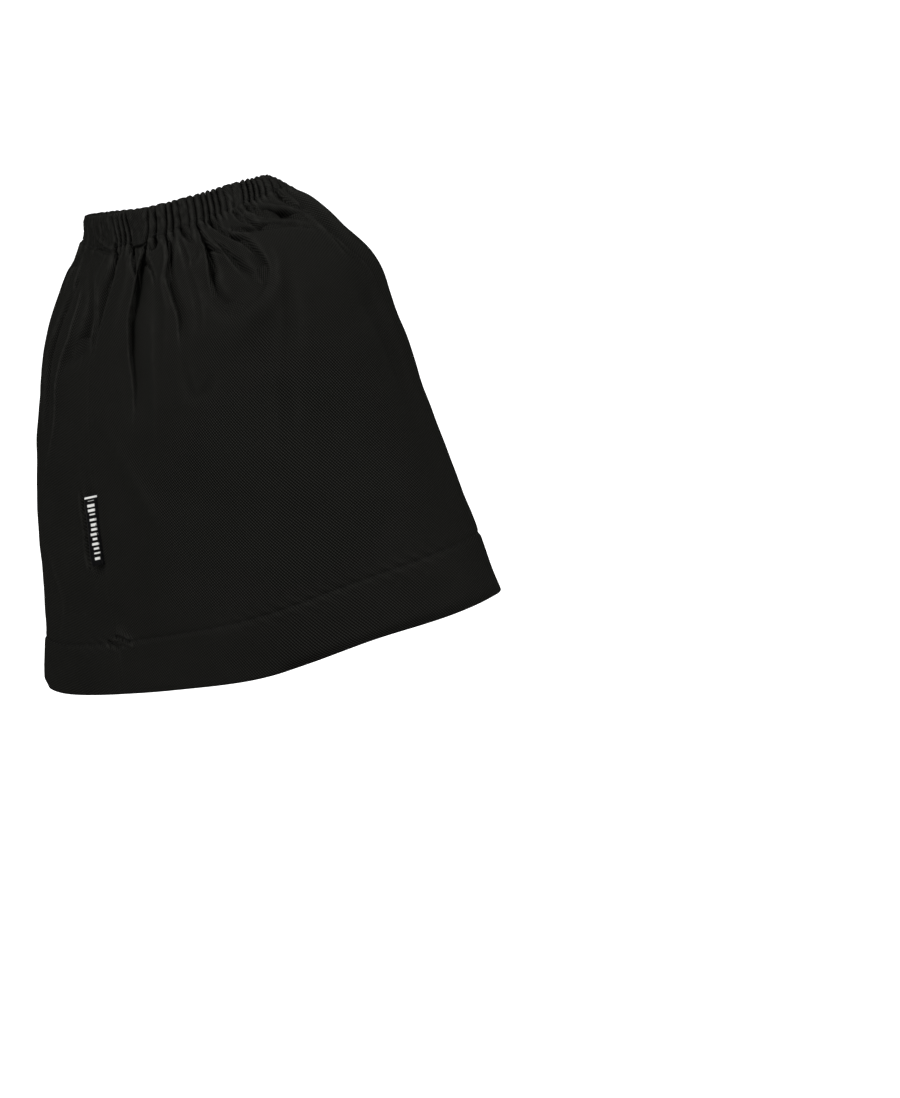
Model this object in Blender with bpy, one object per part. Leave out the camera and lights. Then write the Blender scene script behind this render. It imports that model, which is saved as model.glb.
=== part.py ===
"""Elasticated cloth boot cover, one of a pair, in the hollow form that it takes when it is worn.

One flared panel of drill cloth is closed into a tube by a single seam. Its top is folded over an elastic,
which gathers it at the ankle, and its hem is turned up inside. The cover is drawn in metres with +Z up and
the wearer's toes towards +X. The origin is the middle of the elastic's ring, where the ankle holds it.

A place on the cloth has two coordinates. Its share runs from 0 at the top edge to 1 at the hem edge, and
its around runs in turns of the cloth: 0 at the front, 0.25 at the side -Y, 0.5 at the back.
"""
import math
from typing import NamedTuple

import bpy
import numpy as np

MM = 0.001

# ---- Driving sizes ----
CLOTH_WALL = 1.2 * MM          # drill cloth with its nap, one layer
CASING_WALL = 1.7 * MM         # folded cloth and elastic, measured in the valleys of the gathers
HEM_WALL = 1.0 * MM            # the turned-up layer and its tucked edge
ALLOWANCE_WALL = 1.0 * MM      # both raw edges of the seam, pressed to one side
LABEL_WALL = 0.9 * MM          # a woven tape folded double
SEAM_GAP = 0.3 * MM            # between neighbouring pieces

CASING_FOOT = 0.0690           # share where the casing ends
PANEL_TOP = 0.0715             # share where the panel starts, one gap lower
HEM_LINE = 0.88                # share of the hem's stitching, 20 mm above the edge
HEM_FOLD = 0.997               # share where the turned-up layer starts
SEAM_AROUND = 0.333            # the one seam, on the side towards the back
ALLOWANCE_COLUMNS = 4          # columns of the panel that the seam allowance covers
LABEL_SHARES = (0.555, 0.705)
LABEL_AROUNDS = (0.3335, 0.3400, 0.3465)
LABEL_STAND_OFF = 0.7 * MM     # how far the label's free edge lifts

GATHER_HEIGHTS = (0.8 * MM, 1.25 * MM)     # crest over valley in the casing, least and greatest
TAIL_HEIGHTS = (0.8 * MM, 1.8 * MM)        # the same just under the casing
TAIL_REACHES = (0.030, 0.105)  # share over which a gather fades below the casing
CREST_POWER = 0.7              # 0.5 is a half circle, more is a narrower crest
UNEVEN_PITCH = 0.24            # how much the gathers of one run differ in width
EDGE_CROWN = 0.5 * MM          # how far the crests lift the top edge
COLUMNS_PER_GATHER = 3         # a wide pleat has more, one for each pitch
COLUMN_PITCH = 0.0075          # in turns of the cloth


class Section(NamedTuple):
    """The plain outline at one share: back and front points, half width, hanging sides, raised side -Y."""

    share: float
    back_x: float
    back_z: float
    front_x: float
    front_z: float
    half_width: float
    sag: float
    roll: float


SECTIONS = (                   # millimetres after the share
    Section(0.00, -35.5, -6.5, 32.0, 13.0, 27.5, 2.8, 4.5),
    Section(0.07, -36.5, -17.0, 42.5, 9.5, 30.0, 4.8, 4.0),
    Section(0.12, -43.5, -26.0, 50.5, 5.0, 34.0, 4.5, 2.5),
    Section(0.20, -51.0, -43.0, 67.5, -6.0, 39.0, 3.0, 0.0),
    Section(0.40, -56.5, -82.0, 81.5, -31.0, 45.0, 2.5, 0.0),
    Section(0.60, -57.5, -118.0, 93.5, -62.0, 48.0, 3.5, 0.0),
    Section(0.80, -56.0, -150.0, 107.5, -95.5, 49.0, 4.8, 0.0),
    Section(1.00, -57.0, -179.5, 122.5, -129.5, 49.0, 5.5, 0.0),
)


class GatherRun(NamedTuple):
    """A stretch of the casing: the around where it starts, and the gathers up to the next stretch."""

    start: float
    gathers: int


GATHER_RUNS = (                # a run of one gather is a wide flat pleat
    GatherRun(0.0050, 5), GatherRun(0.0725, 1), GatherRun(0.1025, 13), GatherRun(0.2425, 1),
    GatherRun(0.2850, 2), GatherRun(0.3125, 1), GatherRun(SEAM_AROUND, 2), GatherRun(0.3650, 9),
    GatherRun(0.4700, 1), GatherRun(0.5000, 10), GatherRun(0.6150, 1), GatherRun(0.6500, 11),
    GatherRun(0.7750, 1), GatherRun(0.8080, 6), GatherRun(0.8800, 1), GatherRun(0.9050, 5),
    GatherRun(0.9625, 2),
)


class Fold(NamedTuple):
    """A soft trough down the cloth, or a ridge where its depth is negative.

    Its line passes three arounds, at its top share, half way and at its foot share. It is deepest at the
    place peak, from 0 at its top to 1 at its foot. Its half width and its depth are in millimetres.
    """

    top_around: float
    mid_around: float
    foot_around: float
    top: float
    foot: float
    peak: float
    half_width: float
    depth: float


FOLDS = (
    # side -Y, from the front to the back
    Fold(0.014, 0.010, -0.004, 0.08, 0.33, 0.40, 3.0, 1.8),
    Fold(0.098, 0.068, 0.040, 0.08, 0.16, 0.50, 1.6, 1.2),
    Fold(0.082, 0.112, 0.183, 0.15, 0.39, 0.50, 3.5, -1.9),
    Fold(0.137, 0.110, 0.121, 0.12, 0.28, 0.50, 2.4, 2.2),
    Fold(0.105, 0.105, 0.107, 0.25, 0.42, 0.50, 4.0, 0.8),
    Fold(0.126, 0.128, 0.131, 0.42, 0.64, 0.50, 5.0, 0.9),
    Fold(0.155, 0.163, 0.170, 0.10, 0.23, 0.45, 2.6, 2.0),
    Fold(0.154, 0.155, 0.156, 0.24, 0.32, 0.50, 2.6, 1.0),
    Fold(0.206, 0.212, 0.210, 0.10, 0.38, 0.25, 2.0, 2.3),
    Fold(0.233, 0.240, 0.262, 0.12, 0.52, 0.35, 3.0, -1.4),
    Fold(0.257, 0.268, 0.279, 0.09, 0.43, 0.20, 2.0, 3.2),
    Fold(0.281, 0.315, 0.262, 0.12, 0.66, 0.35, 5.0, -1.5),
    Fold(0.283, 0.303, 0.352, 0.09, 0.32, 0.25, 2.3, 2.4),
    Fold(0.392, 0.382, 0.414, 0.08, 0.56, 0.40, 4.5, -1.9),
    # the back
    Fold(0.432, 0.426, 0.446, 0.10, 0.48, 0.35, 4.0, 2.0),
    Fold(0.468, 0.472, 0.470, 0.09, 0.33, 0.25, 2.2, 2.3),
    Fold(0.507, 0.512, 0.520, 0.10, 0.26, 0.35, 2.4, 1.9),
    Fold(0.547, 0.541, 0.530, 0.09, 0.42, 0.22, 2.1, 2.8),
    # side +Y, from the back to the front
    Fold(0.575, 0.571, 0.556, 0.12, 0.50, 0.35, 4.0, -1.6),
    Fold(0.602, 0.612, 0.640, 0.09, 0.30, 0.25, 2.4, 2.2),
    Fold(0.655, 0.650, 0.657, 0.09, 0.46, 0.20, 2.0, 3.0),
    Fold(0.686, 0.680, 0.660, 0.12, 0.60, 0.35, 5.0, -1.5),
    Fold(0.716, 0.723, 0.736, 0.10, 0.35, 0.25, 2.2, 2.2),
    Fold(0.766, 0.761, 0.755, 0.10, 0.24, 0.45, 2.6, 1.9),
    Fold(0.811, 0.816, 0.802, 0.09, 0.40, 0.25, 2.0, 2.5),
    Fold(0.846, 0.850, 0.812, 0.15, 0.43, 0.50, 3.5, -1.8),
    Fold(0.872, 0.890, 0.880, 0.12, 0.29, 0.50, 2.4, 2.0),
    Fold(0.862, 0.868, 0.875, 0.42, 0.66, 0.50, 5.0, 0.9),
    Fold(0.928, 0.936, 0.946, 0.10, 0.23, 0.45, 2.4, 1.7),
    Fold(0.966, 0.962, 0.950, 0.09, 0.30, 0.40, 2.6, 1.5),
)


class HemWave(NamedTuple):
    """A stretch of hem that stands off or falls in: its middle, its half span in turns, millimetres."""

    around: float
    half_span: float
    out: float
    drop: float


HEM_WAVES = (
    HemWave(0.205, 0.055, 1.5, 1.4),
    HemWave(0.105, 0.040, -0.9, 0.0),
    HemWave(0.400, 0.045, 0.8, 0.4),
    HemWave(0.500, 0.040, -0.6, 0.0),
    HemWave(0.615, 0.060, 1.6, 1.2),
    HemWave(0.735, 0.045, -1.0, 0.3),
    HemWave(0.875, 0.050, 1.2, 0.9),
)
HEM_WAVE_REACH = 0.30          # share over which a wave dies out above the hem

OUTLINE_STEPS = 721            # points round an outline before they are spread evenly
NORMAL_STEP = 0.004            # half the stretch over which a normal is read

# Rows of the meshes. The casing's rows also say how far its rounded fold is drawn in, in millimetres.
CASING_INNER_SHARES = (0.010, 0.065)
CASING_ROWS = ((0.000, 0.7), (0.012, 0.0), (0.042, -0.1), (CASING_FOOT, 0.6))
PANEL_SHARES = (PANEL_TOP, 0.094, 0.125, 0.165, 0.215, 0.285, 0.400, 0.555, 0.705, HEM_LINE, 1.0)

# ---- Finishes: linear colour, roughness ----
DRILL_BLACK = ((0.0098, 0.0098, 0.0092), 0.88)
TAPE_BLACK = ((0.0085, 0.0085, 0.0090), 0.62)


def spread(index: int, salt: float) -> float:
    """A fixed number from 0 to 1 that looks random and belongs to one gather."""
    return math.fmod(abs(math.sin(index * 12.9898 + salt * 78.233)) * 43758.5453, 1.0)


def spread_over(limits: tuple, salt: float, power: float = 1.0) -> np.ndarray:
    """One such number for each gather, between two limits."""
    low, high = limits
    return np.array([low + (high - low) * spread(k, salt) ** power for k in range(GATHERS)])


def ease(amount):
    """The smooth step from 0 to 1."""
    amount = np.clip(amount, 0.0, 1.0)
    return amount * amount * (3.0 - 2.0 * amount)


def section_at(share: float) -> Section:
    """The outline at any share, on smooth curves through the rows of the table, in metres."""
    table = np.array(SECTIONS)
    shares = table[:, 0]
    rows = table[:, 1:] * MM
    slopes = np.gradient(rows, shares, axis=0)
    low = int(np.clip(np.searchsorted(shares, share) - 1, 0, len(shares) - 2))
    step = shares[low + 1] - shares[low]
    t = (share - shares[low]) / step
    start = (1.0 + 2.0 * t) * (1.0 - t) ** 2 * rows[low] + t * (1.0 - t) ** 2 * step * slopes[low]
    end = t * t * (3.0 - 2.0 * t) * rows[low + 1] + t * t * (t - 1.0) * step * slopes[low + 1]
    return Section(share, *(start + end))


def plain_ring(share: float, arounds: np.ndarray) -> tuple[np.ndarray, float]:
    """Points of the plain form at one share, spread evenly along the cloth, and the ring's length."""
    cut = section_at(share)
    turn = np.linspace(0.0, 2.0 * math.pi, OUTLINE_STEPS)
    forward = (1.0 + np.cos(turn)) / 2.0
    side = np.sin(turn)
    outline = np.stack([
        cut.back_x + (cut.front_x - cut.back_x) * forward,
        -cut.half_width * side,
        cut.back_z + (cut.front_z - cut.back_z) * forward - cut.sag * side ** 2 + cut.roll / 2.0 * side,
    ], axis=-1)
    lengths = np.append(0.0, np.cumsum(np.linalg.norm(np.diff(outline, axis=0), axis=1)))
    wanted = np.mod(arounds, 1.0) * lengths[-1]
    points = np.stack([np.interp(wanted, lengths, outline[:, axis]) for axis in range(3)], axis=-1)
    return points, lengths[-1]


def outward(share: float, arounds: np.ndarray) -> np.ndarray:
    """The plain form's normals, which are smooth because they know no folds."""
    low, high = max(share - NORMAL_STEP, 0.0), min(share + NORMAL_STEP, 1.0)
    down = plain_ring(high, arounds)[0] - plain_ring(low, arounds)[0]
    along = plain_ring(share, arounds + NORMAL_STEP)[0] - plain_ring(share, arounds - NORMAL_STEP)[0]
    normal = np.cross(along, down)
    return normal / np.linalg.norm(normal, axis=1, keepdims=True)


def gather_valleys() -> np.ndarray:
    """The arounds of all valleys between gathers, a little uneven within each run, closed by the first."""
    starts = [run.start for run in GATHER_RUNS] + [GATHER_RUNS[0].start + 1.0]
    valleys = []
    for index, run in enumerate(GATHER_RUNS):
        pitch = (starts[index + 1] - run.start) / run.gathers
        for count in range(run.gathers):
            uneven = (spread(len(valleys), 1.0) - 0.5) * UNEVEN_PITCH * pitch if count else 0.0
            valleys.append(run.start + count * pitch + uneven)
    return np.array(valleys + [starts[-1]])


VALLEYS = gather_valleys()
GATHERS = len(VALLEYS) - 1


def gather_crests(share: float, arounds: np.ndarray) -> np.ndarray:
    """Height of the gathers over their valleys: even rolls in the casing, tails that fade below it."""
    turned = np.mod(arounds - VALLEYS[0], 1.0) + VALLEYS[0]
    phase = np.interp(turned, VALLEYS, np.arange(GATHERS + 1))
    index = np.minimum(phase.astype(int), GATHERS - 1)
    roll = np.power(np.clip(1.0 - (2.0 * (phase - index) - 1.0) ** 2, 0.0, 1.0), CREST_POWER)
    casing = spread_over(GATHER_HEIGHTS, 2.0)
    tail = spread_over(TAIL_HEIGHTS, 3.0)
    reach = spread_over(TAIL_REACHES, 4.0, power=2.0)
    if share <= CASING_FOOT:
        return casing[index] * roll
    below = (share - CASING_FOOT) / reach
    height = casing + (tail - casing) * ease(below * 2.0)
    return (height * np.exp(-below ** 2 / 2.0))[index] * roll


def fold_heights(share: float, arounds: np.ndarray, ring_length: float) -> np.ndarray:
    """Height of all troughs and ridges at one share."""
    height = np.zeros(len(arounds))
    for fold in FOLDS:
        t = (share - fold.top) / (fold.foot - fold.top)
        if not 0.0 < t < 1.0:
            continue
        line = ((1.0 - t) * (1.0 - 2.0 * t) * fold.top_around + 4.0 * t * (1.0 - t) * fold.mid_around
                + t * (2.0 * t - 1.0) * fold.foot_around)
        away = (np.mod(arounds - line + 0.5, 1.0) - 0.5) * ring_length / (fold.half_width * MM)
        strength = ease(t / fold.peak if t < fold.peak else (1.0 - t) / (1.0 - fold.peak))
        height -= fold.depth * MM * strength * np.exp(-away ** 2)
    return height


def hem_waves(share: float, arounds: np.ndarray) -> tuple[np.ndarray, np.ndarray]:
    """How far the hem's waves stand out, and how far they hang below the plain edge."""
    strength = ease((share - 1.0 + HEM_WAVE_REACH) / HEM_WAVE_REACH)
    out = np.zeros(len(arounds))
    drop = np.zeros(len(arounds))
    for wave in HEM_WAVES:
        away = (np.mod(arounds - wave.around + 0.5, 1.0) - 0.5) / wave.half_span
        out += wave.out * MM * strength * np.exp(-away ** 2)
        drop += wave.drop * MM * strength * np.exp(-away ** 2)
    return out, drop


def cloth_row(share: float, arounds: np.ndarray, folded: bool = True) -> tuple[np.ndarray, np.ndarray]:
    """Outer points of the cloth at one share, and the directions in which its wall has its thickness."""
    points, ring_length = plain_ring(share, arounds)
    normals = outward(share, arounds)
    out, drop = hem_waves(share, arounds)
    if folded:
        out = out + gather_crests(share, arounds) + fold_heights(share, arounds, ring_length)
    points = points + normals * out[:, None]
    points[:, 2] -= drop
    return points, normals


def moved(rows: list, distance: float) -> list[np.ndarray]:
    """The rows of points, moved out along their normals, or in where the distance is negative."""
    return [points + normals * distance for points, normals in rows]


def add_mesh(name: str, corners: np.ndarray, faces: list, finish: tuple) -> bpy.types.Object:
    """A smooth shaded object with its own material."""
    mesh = bpy.data.meshes.new(name)
    mesh.from_pydata(corners.tolist(), [], faces)
    mesh.validate()
    mesh.shade_smooth()
    colour, roughness = finish
    material = bpy.data.materials.new(name)
    material.use_nodes = True
    shader = material.node_tree.nodes["Principled BSDF"]
    shader.inputs["Base Color"].default_value = (*colour, 1.0)
    shader.inputs["Roughness"].default_value = roughness
    shader.inputs["Metallic"].default_value = 0.0
    mesh.materials.append(material)
    piece = bpy.data.objects.new(name, mesh)
    bpy.context.scene.collection.objects.link(piece)
    return piece


def add_tube(name: str, outer: list, inner: list, finish: tuple) -> bpy.types.Object:
    """A closed wall round a hollow: outer rows from the top down, then inner rows from the foot up."""
    loop = outer + inner[::-1]
    columns = len(outer[0])
    faces = []
    for row in range(len(loop)):
        below = (row + 1) % len(loop)
        for column in range(columns):
            right = (column + 1) % columns
            faces.append((row * columns + column, row * columns + right,
                          below * columns + right, below * columns + column))
    return add_mesh(name, np.concatenate(loop), faces, finish)


def add_patch(name: str, outer: list, inner: list, finish: tuple) -> bpy.types.Object:
    """A closed strip of cloth with four edges, from its outer and inner rows of points."""
    rows, columns = len(outer), len(outer[0])
    inside = rows * columns
    faces = []
    for row in range(rows - 1):
        for column in range(columns - 1):
            first = row * columns + column
            quad = (first, first + 1, first + columns + 1, first + columns)
            faces.append(quad)
            faces.append(tuple(inside + corner for corner in reversed(quad)))
    for row in range(rows - 1):
        for column, step in ((0, -1), (columns - 1, 1)):
            top, foot = row * columns + column, (row + 1) * columns + column
            faces.append((top, inside + top, inside + foot, foot)[::step])
    for column in range(columns - 1):
        for row, step in ((0, 1), (rows - 1, -1)):
            left = row * columns + column
            faces.append((left, inside + left, inside + left + 1, left + 1)[::step])
    return add_mesh(name, np.concatenate(outer + inner), faces, finish)


def build_casing(arounds: np.ndarray) -> None:
    """The top folded over its elastic, with every gather raised on its outside over a plain inside."""
    crown = gather_crests(0.0, arounds) / GATHER_HEIGHTS[1] * EDGE_CROWN
    outer, inner = [], []
    for share, drawn_in in CASING_ROWS:
        points, normals = cloth_row(share, arounds)
        points = points - normals * drawn_in * MM
        if share == 0.0:
            points[:, 2] += crown
        outer.append(points)
    for share in CASING_INNER_SHARES:
        points, normals = cloth_row(share, arounds, folded=False)
        inner.append(points - normals * CASING_WALL)
    add_tube("top_casing", outer, inner, DRILL_BLACK)


def build_panel(rows: list) -> None:
    """The body of the cover, one layer of cloth from the casing to the hem's edge."""
    add_tube("body_panel", moved(rows, 0.0), moved(rows, -CLOTH_WALL), DRILL_BLACK)


def build_hem_turn_up(arounds: np.ndarray) -> None:
    """The hem's inner layer, from its stitching down to the fold."""
    rows = [cloth_row(share, arounds) for share in (HEM_LINE, HEM_FOLD)]
    outside = -CLOTH_WALL - SEAM_GAP
    add_tube("hem_turn_up", moved(rows, outside), moved(rows, outside - HEM_WALL), DRILL_BLACK)


def build_seam_allowance(arounds: np.ndarray, rows: list) -> None:
    """The two raw edges of the seam, pressed back inside the panel, from its second row to the hem."""
    first = int(np.argmin(abs(arounds - SEAM_AROUND)))
    columns = slice(first, first + ALLOWANCE_COLUMNS)
    strip = [(points[columns], normals[columns]) for points, normals in rows[1:-2]]
    outside = -CLOTH_WALL - SEAM_GAP
    add_patch("seam_allowance", moved(strip, outside), moved(strip, outside - ALLOWANCE_WALL), DRILL_BLACK)


def build_label() -> None:
    """The woven tape caught in the seam, lying back on the panel with its free edge a little lifted."""
    rows = [cloth_row(share, np.array(LABEL_AROUNDS)) for share in LABEL_SHARES]
    lift = np.linspace(0.0, LABEL_STAND_OFF, len(LABEL_AROUNDS))[:, None]
    lifted = [(points + normals * lift, normals) for points, normals in rows]
    add_patch("seam_label", moved(lifted, SEAM_GAP + LABEL_WALL), moved(lifted, SEAM_GAP), TAPE_BLACK)


def mesh_columns() -> np.ndarray:
    """The arounds of the meshes' columns, with one in each valley."""
    columns = []
    for start, end in zip(VALLEYS[:-1], VALLEYS[1:]):
        count = max(COLUMNS_PER_GATHER, round((end - start) / COLUMN_PITCH))
        columns.extend(np.linspace(start, end, count, endpoint=False))
    return np.array(columns)


def main() -> None:
    """Clears the scene and builds the cover's five pieces."""
    for piece in list(bpy.data.objects):
        bpy.data.objects.remove(piece)
    arounds = mesh_columns()
    panel_rows = [cloth_row(share, arounds) for share in PANEL_SHARES]
    build_casing(arounds)
    build_panel(panel_rows)
    build_hem_turn_up(arounds)
    build_seam_allowance(arounds, panel_rows)
    build_label()


main()
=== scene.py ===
"""Looks of one elasticated cloth boot cover, in the hollow form that it has when it is worn.

A place on the cloth has a share, from 0 at the top edge to 1 at the hem edge, and an around, in turns of the
cloth: 0 at the front, 0.25 at the side -Y, 0.5 at the back. Every piece reads its points from one cloth form,
so that the casing, the panel, the turned-up hem, the seam and its label fit each other.
"""
import logging
import math
from dataclasses import dataclass, field
from enum import Enum

import bpy
import numpy as np
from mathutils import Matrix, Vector


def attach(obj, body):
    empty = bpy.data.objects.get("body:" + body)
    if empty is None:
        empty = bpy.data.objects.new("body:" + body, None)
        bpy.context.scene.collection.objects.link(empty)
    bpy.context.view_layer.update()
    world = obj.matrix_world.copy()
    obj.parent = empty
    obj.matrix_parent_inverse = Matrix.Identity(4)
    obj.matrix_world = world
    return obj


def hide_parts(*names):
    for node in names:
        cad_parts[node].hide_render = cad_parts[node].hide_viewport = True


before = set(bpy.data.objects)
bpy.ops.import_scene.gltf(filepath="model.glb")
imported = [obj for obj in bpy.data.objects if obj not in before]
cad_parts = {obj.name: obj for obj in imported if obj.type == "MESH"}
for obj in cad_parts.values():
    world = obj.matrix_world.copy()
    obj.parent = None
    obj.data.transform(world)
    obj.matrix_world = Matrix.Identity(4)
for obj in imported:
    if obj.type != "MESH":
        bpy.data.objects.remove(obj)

log = logging.getLogger("boot_cover")

Array = np.ndarray
Pair = tuple[float, float]
Triple = tuple[float, float, float]
Tree = bpy.types.NodeTree
Node = bpy.types.Node
Socket = bpy.types.NodeSocket
Source = Socket | float | tuple[float, ...]      # what feeds a node: another node's result, or a value
Material = bpy.types.Material
Piece = bpy.types.Object

MM = 0.001
BODY = "root"

# ---- Places on the cloth, as shares from the top edge and turns from the front ----
CASING_FOOT = 0.0690
PANEL_TOP = 0.0694
HEM_LINE = 0.88
SEAM_AROUND = 0.331
CLOTH_WIDTH = 0.430            # metres of cloth in one turn, for the weave
CASING_LENGTH = 0.165          # metres of casing for a whole share, near the top edge


# ---- Tables of the form ----
@dataclass(frozen=True)
class Section:
    """The plain outline at one share, in millimetres: back, front, half width, hanging and raised sides."""

    share: float
    back_x: float
    back_z: float
    front_x: float
    front_z: float
    half_width: float
    sag: float
    roll: float

    def numbers(self) -> list[float]:
        """The outline's sizes in metres, in the order of the fields."""
        return [size * MM for size in (self.back_x, self.back_z, self.front_x, self.front_z,
                                       self.half_width, self.sag, self.roll)]


SECTIONS = (
    Section(0.00, -35.5, -4.6, 32.0, 13.6, 27.5, 2.8, 4.5),
    Section(0.07, -36.5, -17.0, 42.5, 9.5, 30.0, 4.8, 4.0),
    Section(0.12, -43.5, -26.0, 50.5, 5.0, 34.0, 4.5, 2.5),
    Section(0.20, -51.0, -43.0, 67.5, -6.0, 39.0, 3.0, 0.0),
    Section(0.40, -56.5, -82.0, 82.0, -31.0, 45.0, 2.5, 0.0),
    Section(0.60, -57.2, -118.0, 94.1, -62.0, 48.0, 3.5, 0.0),
    Section(0.80, -55.6, -150.0, 108.4, -95.5, 49.0, 4.8, 0.0),
    Section(1.00, -57.0, -179.5, 122.8, -129.5, 49.0, 5.5, 0.0),
)


@dataclass(frozen=True)
class Valley:
    """A valley between two gathers: its around at the top edge and at the casing's foot, its depth in mm."""

    top: float
    foot: float
    depth: float


VALLEYS = (
    Valley(-0.036, 0.0155, 1.3), Valley(-0.016, 0.0330, 1.6), Valley(0.0040, 0.0475, 1.9),
    Valley(0.0205, 0.0590, 1.9), Valley(0.0325, 0.0690, 2.1), Valley(0.0435, 0.0780, 2.3),
    Valley(0.0550, 0.0880, 1.9), Valley(0.0740, 0.1040, 1.1), Valley(0.0915, 0.1150, 1.5),
    Valley(0.1035, 0.1260, 2.1), Valley(0.1135, 0.1355, 2.3), Valley(0.1230, 0.1450, 2.3),
    Valley(0.1325, 0.1545, 2.2), Valley(0.1460, 0.1670, 2.4), Valley(0.1580, 0.1785, 1.5),
    Valley(0.1755, 0.1935, 1.5), Valley(0.1865, 0.2070, 2.5), Valley(0.1970, 0.2200, 2.7),
    Valley(0.2170, 0.2375, 2.5), Valley(0.2310, 0.2530, 2.2), Valley(0.2790, 0.2820, 2.0),
    Valley(0.2875, 0.2945, 2.1), Valley(0.2990, 0.3035, 2.2), Valley(0.3150, 0.3125, 2.6),
    Valley(0.3450, 0.3430, 0.5), Valley(0.3740, 0.3720, 0.6), Valley(0.4030, 0.4010, 0.7),
)


@dataclass(frozen=True)
class GatherRun:
    """A stretch of the hidden sides: the around where it starts, and the gathers up to the next stretch."""

    start: float
    gathers: int


GATHER_RUNS = (
    GatherRun(0.4280, 4), GatherRun(0.4700, 1), GatherRun(0.5000, 10), GatherRun(0.6150, 1),
    GatherRun(0.6500, 11), GatherRun(0.7750, 1), GatherRun(0.8080, 6), GatherRun(0.8800, 1),
    GatherRun(0.9050, 6), GatherRun(0.9800, 2),
)


@dataclass(frozen=True)
class Fold:
    """A soft trough in the cloth, or a ridge where its depths are negative.

    Its line runs smoothly through its points. Each point is an around and a share, both in thousandths, and
    there the fold's half width and its depth, both in tenths of a millimetre. Where steep is over 0, the wall
    towards the larger arounds, or below a line that runs to smaller ones, is steeper. Undercut is how far the
    trough leans under that wall, as a part of its depth.
    """

    name: str
    points: tuple[tuple[float, float, float, float], ...]
    steep: float = 0.0
    undercut: float = 0.0


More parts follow.
